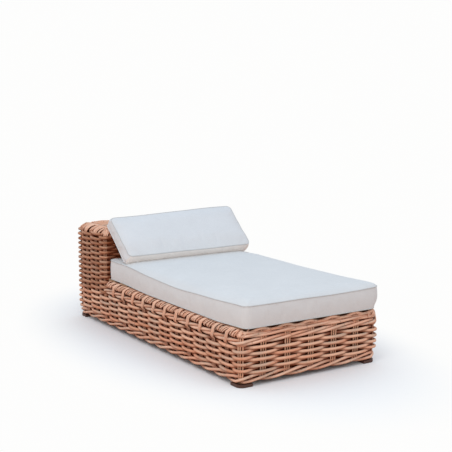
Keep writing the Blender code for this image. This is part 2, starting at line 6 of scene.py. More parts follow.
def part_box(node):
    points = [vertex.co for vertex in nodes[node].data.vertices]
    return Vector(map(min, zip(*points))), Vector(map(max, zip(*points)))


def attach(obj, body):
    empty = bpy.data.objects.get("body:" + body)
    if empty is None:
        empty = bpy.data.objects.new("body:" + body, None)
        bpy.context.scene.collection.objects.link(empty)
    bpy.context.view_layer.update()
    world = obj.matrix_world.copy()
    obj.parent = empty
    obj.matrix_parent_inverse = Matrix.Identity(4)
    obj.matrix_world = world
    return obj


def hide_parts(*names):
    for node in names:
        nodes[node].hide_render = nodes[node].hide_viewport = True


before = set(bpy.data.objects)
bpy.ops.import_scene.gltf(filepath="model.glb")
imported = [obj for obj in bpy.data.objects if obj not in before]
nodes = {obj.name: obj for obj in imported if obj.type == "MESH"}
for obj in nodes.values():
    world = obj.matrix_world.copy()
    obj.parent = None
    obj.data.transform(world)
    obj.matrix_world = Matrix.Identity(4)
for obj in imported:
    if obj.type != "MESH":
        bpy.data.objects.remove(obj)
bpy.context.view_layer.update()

scene = bpy.context.scene
scene.view_settings.view_transform = "Standard"
print("frame loaded:", len(nodes), "nodes")


# repeatable unevenness
def chance(n):
    return (math.sin(n * 12.9898 + 4.137) * 43758.5453) % 1.0


def drift(n, s):  # slow wander along a rod, about -1 to 1
    return 0.6 * math.sin(s * 1.7 + 6.28 * chance(n)) + 0.4 * math.sin(s * 3.9 + 6.28 * chance(n + 0.37))


def ease(t):
    t = min(1.0, max(0.0, t))
    return t * t * (3.0 - 2.0 * t)


def newObject(name, verts, faces, material):
    mesh = bpy.data.meshes.new(name)
    mesh.from_pydata([tuple(v) for v in verts], [], faces)
    mesh.materials.append(material)
    obj = bpy.data.objects.new(name, mesh)
    scene.collection.objects.link(obj)
    return obj


# shader helpers
def newGroup(name, inputs, outputs):
    group = bpy.data.node_groups.new(name, "ShaderNodeTree")
    for label, kind, value in inputs:
        socket = group.interface.new_socket(label, in_out="INPUT", socket_type="NodeSocket" + kind)
        if value is not None:
            socket.default_value = value
    for label, kind in outputs:
        group.interface.new_socket(label, in_out="OUTPUT", socket_type="NodeSocket" + kind)
    return group, group.nodes.new("NodeGroupInput"), group.nodes.new("NodeGroupOutput")


def joiner(tree):
    def wire(source, target):
        tree.links.new(source, target)

    def put(socket, value):
        if hasattr(value, "is_output"):
            wire(value, socket)
        else:
            socket.default_value = value

    def sums(operation, a, b=None, c=None):
        node = tree.nodes.new("ShaderNodeMath")
        node.operation = operation
        for socket, value in zip(node.inputs, (a, b, c)):
            if value is not None:
                put(socket, value)
        return node.outputs[0]

    def stretch(vector, scale):
        node = tree.nodes.new("ShaderNodeVectorMath")
        node.operation = "MULTIPLY"
        put(node.inputs[0], vector)
        put(node.inputs[1], scale)
        return node.outputs[0]

    def noise(vector, scale, detail=2.0, rough=0.5):
        node = tree.nodes.new("ShaderNodeTexNoise")
        put(node.inputs["Vector"], vector)
        node.inputs["Scale"].default_value = scale
        node.inputs["Detail"].default_value = detail
        node.inputs["Roughness"].default_value = rough
        return node.outputs["Fac"]

    def band(value, low, high, outLow=0.0, outHigh=1.0):
        node = tree.nodes.new("ShaderNodeMapRange")
        node.interpolation_type = "SMOOTHSTEP"
        put(node.inputs["Value"], value)
        for label, number in (("From Min", low), ("From Max", high), ("To Min", outLow), ("To Max", outHigh)):
            put(node.inputs[label], number)
        return node.outputs["Result"]

    def blendColour(factor, a, b, kind="MIX"):
        node = tree.nodes.new("ShaderNodeMix")
        node.data_type = "RGBA"
        node.blend_type = kind
        put(node.inputs[0], factor)
        put(node.inputs[6], a)
        put(node.inputs[7], b)
        return node.outputs[2]

    def split(vector):
        node = tree.nodes.new("ShaderNodeSeparateXYZ")
        put(node.inputs[0], vector)
        return node.outputs[0], node.outputs[1], node.outputs[2]

    return wire, sums, stretch, noise, band, blendColour, split


patternOutputs = [("Color", "Color"), ("Rough", "Float"), ("Height", "Float")]

# peeled cane: lengthwise fibre, blotches and a ring at every joint of the stem, darkened by painted shade per point
caneTints = {"weathered": (0.60, 0.45, 0.34, 1), "blushed": (0.80, 0.34, 0.19, 1),
             "ring": (0.20, 0.10, 0.06, 1), "shadeTint": (0.22, 0.042, 0.010, 1)}
caneGroup, caneIn, caneOut = newGroup(
    "caneGrain",
    [("Place", "Vector", None), ("Tone", "Float", 0.5),
     ("Pale", "Color", (0.7, 0.45, 0.3, 1)), ("Deep", "Color", (0.45, 0.24, 0.14, 1)),
     ("Fibre", "Float", 0.5), ("Ring Spacing", "Float", 0.3), ("PaintedShade", "Float", 0.0),
     ("Weather", "Float", 0.4)],
    patternOutputs)
wire, sums, stretch, noise, band, blendColour, split = joiner(caneGroup)
along, _, _ = split(caneIn.outputs["Place"])
fibre = noise(stretch(caneIn.outputs["Place"], (16.0, 640.0, 640.0)), 1.0, 3.0, 0.6)
blotch = noise(stretch(caneIn.outputs["Place"], (9.0, 40.0, 40.0)), 1.0, 2.0)
joint = sums("ADD", sums("DIVIDE", along, caneIn.outputs["Ring Spacing"]), sums("MULTIPLY", blotch, 0.2))
joint = sums("FRACT", joint)
ring = band(sums("ABSOLUTE", sums("SUBTRACT", joint, 0.5)), 0.482, 0.497)
mixed = sums("ADD", caneIn.outputs["Tone"], sums("MULTIPLY", sums("SUBTRACT", fibre, 0.5), caneIn.outputs["Fibre"]))
mixed = sums("ADD", mixed, sums("MULTIPLY", sums("SUBTRACT", blotch, 0.5), 0.9))
mixed = sums("MINIMUM", sums("MAXIMUM", mixed, 0.0), 1.0)
caneColour = blendColour(mixed, caneIn.outputs["Deep"], caneIn.outputs["Pale"])
weather = noise(stretch(caneIn.outputs["Place"], (6.0, 30.0, 30.0)), 1.0, 2.0)
weathered = band(weather, 0.47, 0.66, 0.0, caneIn.outputs["Weather"])
caneColour = blendColour(weathered, caneColour, caneTints["weathered"])
blush = noise(stretch(caneIn.outputs["Place"], (4.0, 21.0, 33.0)), 1.0, 1.0)
blushed = band(blush, 0.50, 0.70, 0.0, sums("MULTIPLY", caneIn.outputs["Weather"], 0.8))
caneColour = blendColour(blushed, caneColour, caneTints["blushed"])
caneColour = blendColour(sums("MULTIPLY", ring, 0.35), caneColour, caneTints["ring"])
# painted shade: per-point darkening of rods' inner sides, undersides and stretches behind or under other parts
caneColour = blendColour(caneIn.outputs["PaintedShade"], caneColour, caneTints["shadeTint"])
wire(caneColour, caneOut.inputs["Color"])
wire(sums("ADD", sums("MULTIPLY", fibre, 0.28), 0.36), caneOut.inputs["Rough"])
wire(sums("ADD", sums("MULTIPLY", fibre, 0.6), sums("MULTIPLY", ring, 0.9)), caneOut.inputs["Height"])

# plain canvas: crossing threads, slubs and soft mottling
clothGroup, clothIn, clothOut = newGroup(
    "canvasWeave",
    [("Place", "Vector", None), ("Facing", "Vector", None),
     ("Colour", "Color", (0.75, 0.74, 0.72, 1)), ("Lit Strip", "Color", (0.75, 0.74, 0.72, 1)),
     ("Thread", "Float", 0.0016)],
    patternOutputs)
wire, sums, stretch, noise, band, blendColour, split = joiner(clothGroup)
px, py, pz = split(clothIn.outputs["Place"])
fx, fy, fz = split(clothIn.outputs["Facing"])
onTop = sums("GREATER_THAN", sums("ABSOLUTE", fz), 0.62)
onEnd = sums("GREATER_THAN", sums("ABSOLUTE", fx), 0.62)
across = sums("ADD", sums("MULTIPLY", py, onEnd), sums("MULTIPLY", px, sums("SUBTRACT", 1.0, onEnd)))
upward = sums("ADD", sums("MULTIPLY", py, onTop), sums("MULTIPLY", pz, sums("SUBTRACT", 1.0, onTop)))
turns = sums("DIVIDE", math.pi, clothIn.outputs["Thread"])
crossed = sums("MULTIPLY", sums("SINE", sums("MULTIPLY", across, turns)),
               sums("SINE", sums("MULTIPLY", upward, turns)))
slub = noise(stretch(clothIn.outputs["Place"], (60.0, 620.0, 620.0)), 1.0, 2.0)
slubAcross = noise(stretch(clothIn.outputs["Place"], (620.0, 60.0, 620.0)), 1.0, 2.0)
mottle = noise(clothIn.outputs["Place"], 7.0, 3.0, 0.6)
shade = sums("ADD", sums("MULTIPLY", crossed, 0.05), sums("MULTIPLY", sums("ADD", slub, slubAcross), 0.10))
shade = sums("ADD", shade, sums("MULTIPLY", mottle, 0.10))
shade = sums("ADD", shade, 0.85)
# painted light: faces turned to local -y take the paler, warmer strip colour
litStripMask = band(sums("MULTIPLY", fy, -1.0), 0.60, 0.80)
clothColour = blendColour(litStripMask, clothIn.outputs["Colour"], clothIn.outputs["Lit Strip"])
clothColour = blendColour(1.0, clothColour, shade, "MULTIPLY")
wire(clothColour, clothOut.inputs["Color"])
wire(sums("ADD", sums("MULTIPLY", slub, 0.14), 0.78), clothOut.inputs["Rough"])
wire(sums("ADD", sums("MULTIPLY", crossed, 0.5), sums("ADD", slub, slubAcross)), clothOut.inputs["Height"])

# sawn hardwood: wavering growth lines and pores
woodGroup, woodIn, woodOut = newGroup(
    "timberGrain",
    [("Place", "Vector", None), ("Pale", "Color", (0.4, 0.25, 0.14, 1)),
     ("Deep", "Color", (0.2, 0.11, 0.06, 1)), ("Pores", "Float", 0.4)],
    patternOutputs)
wire, sums, stretch, noise, band, blendColour, split = joiner(woodGroup)
waver = noise(woodIn.outputs["Place"], 3.0, 3.0, 0.55)
lines = noise(stretch(woodIn.outputs["Place"], (2.0, 42.0, 42.0)), 1.6, 4.0, 0.6)
pores = noise(stretch(woodIn.outputs["Place"], (30.0, 900.0, 900.0)), 1.0, 2.0)
figure = sums("ADD", sums("MULTIPLY", lines, 1.1), sums("MULTIPLY", sums("SUBTRACT", waver, 0.5), 0.6))
figure = sums("SUBTRACT", figure, sums("MULTIPLY", band(pores, 0.56, 0.72), woodIn.outputs["Pores"]))
figure = sums("MINIMUM", sums("MAXIMUM", figure, 0.0), 1.0)
wire(blendColour(figure, woodIn.outputs["Deep"], woodIn.outputs["Pale"]), woodOut.inputs["Color"])
wire(sums("SUBTRACT", 0.66, sums("MULTIPLY", lines, 0.2)), woodOut.inputs["Rough"])
wire(sums("ADD", lines, sums("MULTIPLY", pores, 0.8)), woodOut.inputs["Height"])


def setInputs(node, values):
    for label, value in values.items():
        node.inputs[label].default_value = value


def startMaterial(name, group):
    material = bpy.data.materials.new(name)
    material.use_nodes = True
    tree = material.node_tree
    shader = tree.nodes["Principled BSDF"]
    pattern = tree.nodes.new("ShaderNodeGroup")
    pattern.node_tree = group
    bump = tree.nodes.new("ShaderNodeBump")
    tree.links.new(pattern.outputs["Color"], shader.inputs["Base Color"])
    tree.links.new(pattern.outputs["Rough"], shader.inputs["Roughness"])
    tree.links.new(pattern.outputs["Height"], bump.inputs["Height"])
    tree.links.new(bump.outputs["Normal"], shader.inputs["Normal"])
    return material, tree, shader, pattern, bump


def caneMaterial(name, look):
    material, tree, shader, pattern, bump = startMaterial(name, caneGroup)
    for label, output in (("Place", "Vector"), ("Tone", "Fac"), ("PaintedShade", "Fac")):  # written by sweepRods
        written = tree.nodes.new("ShaderNodeAttribute")
        written.attribute_name = "cane" + label
        tree.links.new(written.outputs[output], pattern.inputs[label])
    setInputs(pattern, {"Pale": (*look["pale"], 1), "Deep": (*look["deep"], 1), "Fibre": look["fibre"],
                        "Ring Spacing": look["joints"], "Weather": look["weather"]})
    setInputs(shader, {"Specular IOR Level": look["gloss"]})
    setInputs(bump, {"Strength": 0.35, "Distance": 0.0012})
    return material


def clothMaterial(name, look):
    material, tree, shader, pattern, bump = startMaterial(name, clothGroup)
    where = tree.nodes.new("ShaderNodeTexCoord")
    tree.links.new(where.outputs["Object"], pattern.inputs["Place"])
    tree.links.new(where.outputs["Normal"], pattern.inputs["Facing"])
    litStrip = look.get("litStrip", look["colour"])  # painted light: the pillow's lower strip, facing forward and down, is painted paler and warmer
    setInputs(pattern, {"Colour": (*look["colour"], 1), "Lit Strip": (*litStrip, 1), "Thread": look["thread"]})
    setInputs(shader, {"Specular IOR Level": 0.2, "Sheen Weight": 0.15, "Sheen Roughness": 0.5})
    setInputs(bump, {"Strength": 0.22, "Distance": 0.0006})
    return material


def timberMaterial(name, look, axis):
    material, tree, shader, pattern, bump = startMaterial(name, woodGroup)
    where = tree.nodes.new("ShaderNodeTexCoord")
    lay = tree.nodes.new("ShaderNodeMapping")  # turns the grain along the piece
    quarter = math.pi / 2
    lay.inputs["Rotation"].default_value = {"x": (0, 0, 0), "y": (0, 0, quarter), "z": (0, quarter, 0)}[axis]
    tree.links.new(where.outputs["Object"], lay.inputs["Vector"])
    tree.links.new(lay.outputs["Vector"], pattern.inputs["Place"])
    setInputs(pattern, {"Pale": (*look["pale"], 1), "Deep": (*look["deep"], 1), "Pores": look["pores"]})
    setInputs(bump, {"Strength": 0.3, "Distance": 0.0008})
    return material


caneLooks = {
    "rows": {"pale": (0.91, 0.548, 0.370), "deep": (0.61, 0.256, 0.137), "fibre": 1.1,
             "joints": 0.34, "weather": 0.70, "gloss": 0.18},
    "head": {"pale": (0.57, 0.300, 0.180), "deep": (0.35, 0.128, 0.058), "fibre": 1.1,
             "joints": 0.34, "weather": 0.30, "gloss": 0.18},
    "stakes": {"pale": (0.90, 0.54, 0.355), "deep": (0.68, 0.365, 0.22), "fibre": 0.7,
               "joints": 0.29, "weather": 0.5, "gloss": 0.18},
    "border": {"pale": (0.97, 0.620, 0.445), "deep": (0.66, 0.318, 0.190), "fibre": 0.9,
               "joints": 0.31, "weather": 0.65, "gloss": 0.18},
    # near-black packing: painted shade inside the wall
    "packing": {"pale": (0.090, 0.014, 0.003), "deep": (0.045, 0.007, 0.001), "fibre": 0.6,
                "joints": 0.34, "weather": 0.0, "gloss": 0.0},
}
caneRows = caneMaterial("peeled cane rows", caneLooks["rows"])
# the headboard rows take a darker cane
caneHead = caneMaterial("peeled cane darker", caneLooks["head"])
caneStakes = caneMaterial("peeled cane stakes", caneLooks["stakes"])
caneBorder = caneMaterial("peeled cane border", caneLooks["border"])
canePacking = caneMaterial("cane packing in painted shade", caneLooks["packing"])
print("cane, cloth and timber patterns ready")


# basket: every rod is woven round the plan loops of the CAD skin
basket = {
    "halfWidth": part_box("woven_side_right")[1].x,
    "footFace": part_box("woven_foot_end")[0].y,
    "backFace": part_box("woven_back")[1].y,
    "headFront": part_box("woven_head_front")[0].y,
    "seatTop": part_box("woven_side_left")[1].z,
    "capBase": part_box("woven_head_cap")[0].z,
    "corner": 0.055,
    "capRadius": 0.062,
    "endStakes": 6,
    "sideStakes": 15,
    "cheekStakes": 3,
    "stakeLine": 0.0215,
    "swing": 0.0130,
    "rod": 0.0092,
    "packLine": 0.0325,
    "stake": 0.0042,
    "skirtBottom": 0.018,
    "rowPitch": 0.01675,
    "headPitch": 0.01603,
    "firstRow": 3,
    "lastBaseRow": 11,
    "lastSeatRow": 17,
    "tuck": 0.013,
    "tuckHeight": 0.150,
    "cornerTuck": 0.014,
    "cornerTuckTo": 0.09,
    "cornerTop": 0.020,
    "cornerTopFrom": 0.22,
    "lane": 0.0122,
    "stakeFoot": 0.030,
    "stakeRise": 0.185,
    "footStakeTop": (0.235, 0.255, 0.275, 0.302),
    "stakeStep": 0.1315,
    "cornerStep": 0.085,
    "headStep": 0.1321,
    "frontStep": 0.157,
    "headFirst": 18,
    "headLast": 30,
    "looseEnd": 0.022,
    "creviceShade": 0.70,
    "undersideShade": 0.42,
    "topLightShade": 0.25,
    "perStake": 12,
    "unevenZ": 0.0011,
    "unevenDepth": 0.0008,
}


def planLoop(frontY, sideStakes):
    w, backY, ends = basket["halfWidth"], basket["backFace"], basket["endStakes"]
    deep = backY - frontY
    sides = (((-w, frontY), (1, 0), (0, -1), 2 * w, ends), ((w, frontY), (0, 1), (1, 0), deep, sideStakes),
             ((w, backY), (-1, 0), (0, 1), 2 * w, ends), ((-w, backY), (0, -1), (-1, 0), deep, sideStakes))
    return [{"start": Vector(a), "run": Vector(b), "out": Vector(c), "length": d, "stakes": e}
            for a, b, c, d, e in sides]


baseLoop = planLoop(basket["footFace"], basket["sideStakes"])
headLoop = planLoop(basket["headFront"], basket["cheekStakes"])
baseCount, headCount = (sum(side["stakes"] for side in loop) for loop in (baseLoop, headLoop))


def onLoop(loop, u, depth, z):  # u counts stakes from the left front corner, depth goes in from the outer face
    u = u % sum(side["stakes"] for side in loop)
    for side in loop:
        if u <= side["stakes"]:
            break
        u -= side["stakes"]
    r = basket["corner"]
    bend = r * math.pi / 4
    total = side["length"] - 2 * r + 2 * bend
    travel = u / side["stakes"] * total
    angle, distance = 0.0, travel - bend + r
    if travel < bend:
        angle, distance = (travel - bend) / r, r
    elif travel > total - bend:
        angle, distance = (travel - total + bend) / r, side["length"] - r
    low, high = basket["cornerTuckTo"], basket["cornerTopFrom"]
    if z < low:  # the corners draw in a little more towards the floor
        depth += basket["cornerTuck"] * ease(abs(angle) / 0.6) * ((low - z) / low) ** 1.5
    corner = side["start"] + side["run"] * distance
    if loop is baseLoop and z > high and corner.y < -0.8:  # and the front ones towards the mattress
        draw = ease(abs(angle) / 0.6) * min(1.0, (z - high) / 0.1) ** 1.5
        depth, z = depth + basket["cornerTop"] * draw, z - 0.3 * basket["cornerTop"] * draw
    normal = side["out"] * math.cos(angle) + side["run"] * math.sin(angle)
    spot = corner - side["out"] * r + normal * (r - depth)
    return Vector((spot.x, spot.y, z))


def skirt(z):
    return basket["tuck"] * max(0.0, (basket["tuckHeight"] - z) / basket["tuckHeight"]) ** 2


def makeRod(path, inward, stain, tone, radius, closed=False):  # inward, painted shade and tone: one for all, or a list
    rod = {"path": path, "radius": radius, "closed": closed}
    for label, value in (("inward", inward), ("stain", stain), ("tone", tone)):
        rod[label] = value if isinstance(value, list) else [value] * len(path)
    return rod


def tubeFaces(first, count, sides, closed=True):
    faces = []
    for i in range(count if closed else count - 1):
        a, b = first + i * sides, first + (i + 1) % count * sides
        for k in range(sides):
            j = (k + 1) % sides
            faces.append((a + k, a + j, b + j, b + k))
    return faces


def sweepRods(name, rods, sides, material, replaced=()):
    verts, faces, places, tones, paintedShades = [], [], [], [], []
    for index, rod in enumerate(rods):
        path = rod["path"]
        count, closed = len(path), rod["closed"]
        first = len(verts)
        along = 9.1 * chance(index * 1.3 + len(name))  # each rod reads its own stretch of grain
        side = None
        for i, point in enumerate(path):
            before = path[i - 1] if i or closed else point
            after = path[(i + 1) % count] if i < count - 1 or closed else point
            forward = (after - before).normalized()
            if closed or side is None:
                side = forward.cross(Vector((0, 0, 1)))
                if side.length < 0.2:
                    side = forward.cross(Vector((1, 0, 0)))
            side = (side - forward * side.dot(forward)).normalized()
            up = side.cross(forward)
            if i:
                along += (point - path[i - 1]).length
            radius = rod["radius"] * (1.0 + 0.06 * drift(index + 0.5, along * 5.0))
            for k in range(sides):
                c, s = math.cos(2 * math.pi * k / sides), math.sin(2 * math.pi * k / sides)
                outward = side * c + up * s
                verts.append(point + outward * radius)
                places.extend((along, radius * c + index * 0.7, radius * s))
                # painted light and shade: the upper side of each rod paler, the lower side darker
                tones.append(rod["tone"][i] + basket["topLightShade"] * outward.z)
                innerShade = ease((outward.dot(rod["inward"][i]) + 0.35) / 1.2)  # painted shade on the inner side of each rod, facing into the weave
                # painted shade on the underside of each rod
                under = ease((-outward.z - 0.05) / 0.9)
                paintedShades.append(min(0.92, rod["stain"][i] + basket["creviceShade"] * innerShade + basket["undersideShade"] * under))
        faces += tubeFaces(first, count, sides, closed)
        if not closed:  # rounded ends
            for end, away, flip in ((0, 1, False), (count - 1, count - 2, True)):
                outward = (path[end] - path[away]).normalized()
                tip = len(verts)
                verts.append(path[end] + outward * rod["radius"] * 0.45)
                places.extend((along, index * 0.7, 0.0))
                tones.append(tones[first + end * sides])
                paintedShades.append(paintedShades[first + end * sides])
                for k in range(sides):
                    a, b = first + end * sides + k, first + end * sides + (k + 1) % sides
                    faces.append((tip, a, b) if flip else (tip, b, a))
    obj = newObject(name, verts, faces, material)
    mesh = obj.data
    mesh.attributes.new("canePlace", "FLOAT_VECTOR", "POINT").data.foreach_set("vector", places)
    mesh.attributes.new("caneTone", "FLOAT", "POINT").data.foreach_set("value", tones)
    mesh.attributes.new("canePaintedShade", "FLOAT", "POINT").data.foreach_set("value", paintedShades)
    mesh.shade_smooth()
    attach(obj, "frame")
    if replaced:
        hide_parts(*replaced)
    print(name, len(rods), "rods", len(faces), "faces")


def inwardAt(loop, u, depth, z):
    return (onLoop(loop, u, depth + 0.004, z) - onLoop(loop, u, depth, z)).normalized()


def depthShadeAt(depth):  # painted shade: the deeper a rod runs, the darker it is painted
    return 0.88 * ease((depth - 0.016) / 0.018)


def capIn(z):  # inward bend of the headboard's rounded top edge
    r, rise = basket["capRadius"], z - basket["capBase"]
    return r - math.sqrt(r * r - rise * rise) if rise > 0 else 0.0


def rowHeight(row):  # same rows as the CAD skin
    if row <= basket["lastSeatRow"]:
        return basket["skirtBottom"] + (row + 0.5) * basket["rowPitch"]
    return basket["seatTop"] + (row - basket["lastSeatRow"] - 0.5) * basket["headPitch"]


def turnedIn(u, start, end, amount, run=0.4):  # loose ends turn in behind the corner
    return amount * (1.0 - ease((u - start) / run)) + amount * (1.0 - ease((end - u) / run))


def wovenRod(loop, lay, start, end, closed, looseEnd, radius):  # lay gives depth, height, shade and tone at u
    steps = round((end - start) * basket["perStake"])
    path, tones, inward, stain = [], [], [], []
    for i in range(steps if closed else steps + 1):
        u = start + i / basket["perStake"]
        depth, height, shaded, tone = lay(u)
        if not closed:
            depth += turnedIn(u, start, end, looseEnd)
        path.append(onLoop(loop, u, depth + skirt(height) + capIn(height), height))
        inward.append(inwardAt(loop, u, depth, height))
        stain.append(depthShadeAt(depth) + shaded)
        tones.append(tone)
    return makeRod(path, inward, stain, tones, radius, closed)


def rowRod(loop, row, start, end, closed):
    def lay(u):
        c = math.cos(math.pi * (u + row))
        lean = math.copysign(abs(c) ** 0.75, c)
        depth = basket["stakeLine"] - basket["swing"] * lean + basket["unevenDepth"] * drift(row + 0.2, u)
        height = rowHeight(row) + basket["unevenZ"] * drift(row, u)
        shaded = 0.60 if loop is headLoop and 0.15 < u % headCount < 5.85 else 0.0  # painted shade on the headboard front behind the pillow
        footLight = 0.42 if 0.1 < u % baseCount < 5.9 else 0.02  # painted light: the foot end is painted palest
        if row > basket["lastBaseRow"]:
            footLight = 0.0
        tone = 0.12 + footLight + 0.78 * chance(row * 17.3 + 3.7 * math.floor(((u + row) / 2 + 0.5) / 5))
        return depth, height, shaded, tone

    radius = basket["rod"] * (0.95 + 0.09 * chance(row + 0.6))
    return wovenRod(loop, lay, start, end, closed, basket["looseEnd"], radius)


def waleRod(centre, rise, swing, line, strand, start, end, closed=False):
    def lay(u):
        turn = 2 * math.pi * (u + strand) / 3
        height = centre + rise * math.sin(turn) + 0.0008 * drift(strand + 5, u)
        tone = 0.35 + 0.5 * chance(strand * 5.1 + 2.3 * math.floor((u + strand + 1.5) / 9))
        return line - swing * math.cos(turn), height, 0.0, tone

    return wovenRod(baseLoop, lay, start, end, closed, wale["looseEnd"], wale["rod"])


# plain rows of the base and, above the seat, of the headboard
backSeam, headOffset = 24, basket["headFirst"] - basket["endStakes"]  # closed rods start at the back
rows = [rowRod(baseLoop, row, backSeam, backSeam + baseCount, True)
        for row in range(basket["firstRow"], basket["lastBaseRow"] + 1)]
sweepRods("cane_base_rows", rows, 8, caneRows, ("woven_side_left", "woven_side_right"))
headRods = []
row = basket["lastBaseRow"] + 1
while rowHeight(row) < basket["capBase"] + 0.026:
    if row <= basket["lastSeatRow"]:
        headRods.append(rowRod(baseLoop, row, basket["headFirst"] - 0.25, basket["headLast"] + 0.25, False))
    else:
        headRods.append(rowRod(headLoop, row, backSeam - headOffset, backSeam - headOffset + headCount, True))
    row += 1
topRow = row
sweepRods("cane_head_rows", headRods, 8, caneHead,
          ("woven_back", "woven_cheek_left", "woven_cheek_right", "woven_head_front"))

# straight packing rods along the inner face close the wall behind the weave; their near-black colour is painted
# shade
packRods = []
for loop, stakes, packed in ((baseLoop, baseCount, range(1, basket["lastSeatRow"])),
                             (headLoop, headCount, range(basket["lastSeatRow"], topRow))):
    spots = [i / 5 for i in range(stakes * 5)]
    for z in map(rowHeight, packed):
        path = [onLoop(loop, u, basket["packLine"] + skirt(z) + capIn(z), z) for u in spots]
        inward = [inwardAt(loop, u, 0.03, z) for u in spots]
        packRods.append(makeRod(path, inward, 0.0, 0.4, basket["rod"], True))
sweepRods("cane_packing", packRods, 5, canePacking)

# twisted wales: three rods wound about each other, at the floor and under the seat border
wale = {"footCentre": 0.0440, "footRise": 0.0158, "seatCentre": 0.2440, "seatRise": 0.0100, "swing": 0.0095,
        "line": 0.0215, "endCentre": 0.2765, "endRise": 0.0045, "endSwing": 0.0055, "endLine": 0.0165,
        "cornerCentre": 0.2290, "cornerLine": 0.0225, "cornerReach": 0.6, "looseEnd": 0.024, "rod": 0.0084}
footWale = [waleRod(wale["footCentre"], wale["footRise"], wale["swing"], wale["line"], strand,
                    backSeam, backSeam + baseCount, True) for strand in range(3)]
sweepRods("cane_foot_wale", footWale, 8, caneBorder)
seatWale = [waleRod(wale["seatCentre"], wale["seatRise"], wale["swing"], wale["line"], strand,
                    basket["headLast"] - 0.25, baseCount + basket["headFirst"] + 0.25) for strand in range(3)]
seatWale += [waleRod(wale["endCentre"], wale["endRise"], wale["endSwing"], wale["endLine"], strand,
                     baseCount - 0.25, baseCount + basket["endStakes"] + 0.25)
             for strand in (0.0, 1.5)]  # under the arches of the foot end
seatWale += [waleRod(wale["cornerCentre"], 0.0, 0.0, wale["cornerLine"], 0.5,
                     u - wale["cornerReach"], u + wale["cornerReach"])
             for u in (baseCount, baseCount + basket["endStakes"])]  # close the front corners
sweepRods("cane_seat_wale", seatWale, 8, caneBorder)

# arches over the stakes of the foot end, close under the mattress
arch = {"centre": 0.3015, "rise": 0.0070, "depth": 0.0105, "swing": 0.004, "lower": 0.0095, "behind": 0.003,
        "shift": 0.12, "wander": 0.0012, "looseEnd": 0.016, "steps": 14, "rod": 0.0078}
archRods = []
for row in range(2):  # one rod arched over every stake, one lower and between them
    path, inward, stain = [], [], []
    for i in range(basket["endStakes"] * arch["steps"] + 1):
        u = i / arch["steps"]
        hump = math.cos(2 * math.pi * (u + arch["shift"] + 0.5 * row))
        height = arch["centre"] - arch["lower"] * row + arch["rise"] * hump * (1.0 - 0.5 * row)
        height += arch["wander"] * drift(row + 8, u)
        depth = arch["depth"] + turnedIn(u, 0.02, 5.98, arch["looseEnd"], 0.3)
        depth = depth + arch["swing"] + arch["behind"] * row - arch["swing"] * hump
        path.append(onLoop(baseLoop, u, depth, height))
        inward.append(inwardAt(baseLoop, u, depth, height))
        # painted shade where the rod dips behind the stakes
        stain.append(0.40 * ease((0.2 - hump) / 1.2))
    archRods.append(makeRod(path, inward, stain, 0.8 - 0.25 * row, arch["rod"]))
sweepRods("cane_foot_arches", archRods, 8, caneBorder, ("woven_foot_end",))

# rolled edges: the stakes and short rods between them are laid over the edge, all leaning one way
seatEdge = {
    "loop": baseLoop, "base": basket["seatTop"] - 0.041, "roll": 0.036, "lean": 0.24, "reach": 0.026, "dive": 0.018,
    "rod": 0.0040, "first": 0.04, "between": (0.41, 0.50, 0.62, 0.73, 0.84), "nearCorner": (0.92, 1.00, 1.09),
    "shade": 0.72, "uneven": 0.38, "tone": 0.55, "spans": ((5.4, 17.2), (30.1, 42.2)),
    "hookDraw": 0.75, "hookShift": 0.16, "hookFrom": 0.218, "hookRun": 0.055, "hookStart": 0.06, "hookOver": 1.46,
    "hookOut": ((0.223, 0.017), (0.231, 0.009), (0.241, 0.0045), (0.260, 0.0042)),
    "core": 0.0165, "coreRod": 0.0080, "coreSpans": ((5.6, 17.4), (30.3, 41.95)),
}
headEdge = {
    "loop": headLoop, "base": basket["capBase"], "roll": basket["capRadius"],
    "lean": 0.34, "reach": 0.030, "dive": 0.030, "rod": 0.0066, "first": 0.36, "between": (0.33, 0.57, 0.81),
    "shade": 1.15, "uneven": 0.25, "tone": 0.2, "corners": (0, 6, 9, 15), "cornerDrop": 0.009,
}


def overEdge(edge, u, depth, t):  # t runs from 0 on the face to 1 on top, then on underneath
    roll, angle, past = edge["roll"], math.pi / 2 * min(1.0, t), max(0.0, t - 1.0)
    inward = roll - (roll - depth) * math.cos(angle) + edge["reach"] * past
    height = edge["base"] + (roll - depth) * math.sin(angle) - edge["dive"] * past * past
    return onLoop(edge["loop"], u + edge["lean"] * t, inward, height)


def edgeInward(edge, u, t):  # from the rod towards the middle of the roll
    angle = math.pi / 2 * max(0.0, min(1.0, t))
    spot = u + edge["lean"] * t
    return inwardAt(edge["loop"], spot, 0.01, edge["base"]) * math.cos(angle) - Vector((0, 0, math.sin(angle)))


def shortRod(edge, spot, mark, last):
    depth, first = edge["rod"] * (1.0 + 0.25 * chance(mark)), edge["first"]
    turns = [first - 0.30, first - 0.14] + [first + (last - first) * i / 10 for i in range(11)]
    slant = edge["uneven"] * (chance(mark * 5.9 + 0.4) - 0.5)
    extras = (0.014, 0.007) + (0.0,) * 11  # the lower end dives in
    path = [overEdge(edge, spot + slant * t, depth + extra, t) for t, extra in zip(turns, extras)]
    # painted shade on the lower end, where it dives in, and past the shade point, where the rod runs in under the
    # edge
    stain = [0.85, 0.5, 0.15] + [max(0.0, 1.5 * (t - edge["shade"])) for t in turns[3:]]
    tone = edge["tone"] + (0.95 - edge["tone"]) * chance(mark * 7.7 + 1.1)
    radius = edge["rod"] * (1.0 + edge["uneven"] * (chance(mark * 3.3) - 0.6))
    return makeRod(path, [edgeInward(edge, spot, t) for t in turns], stain, tone, radius)


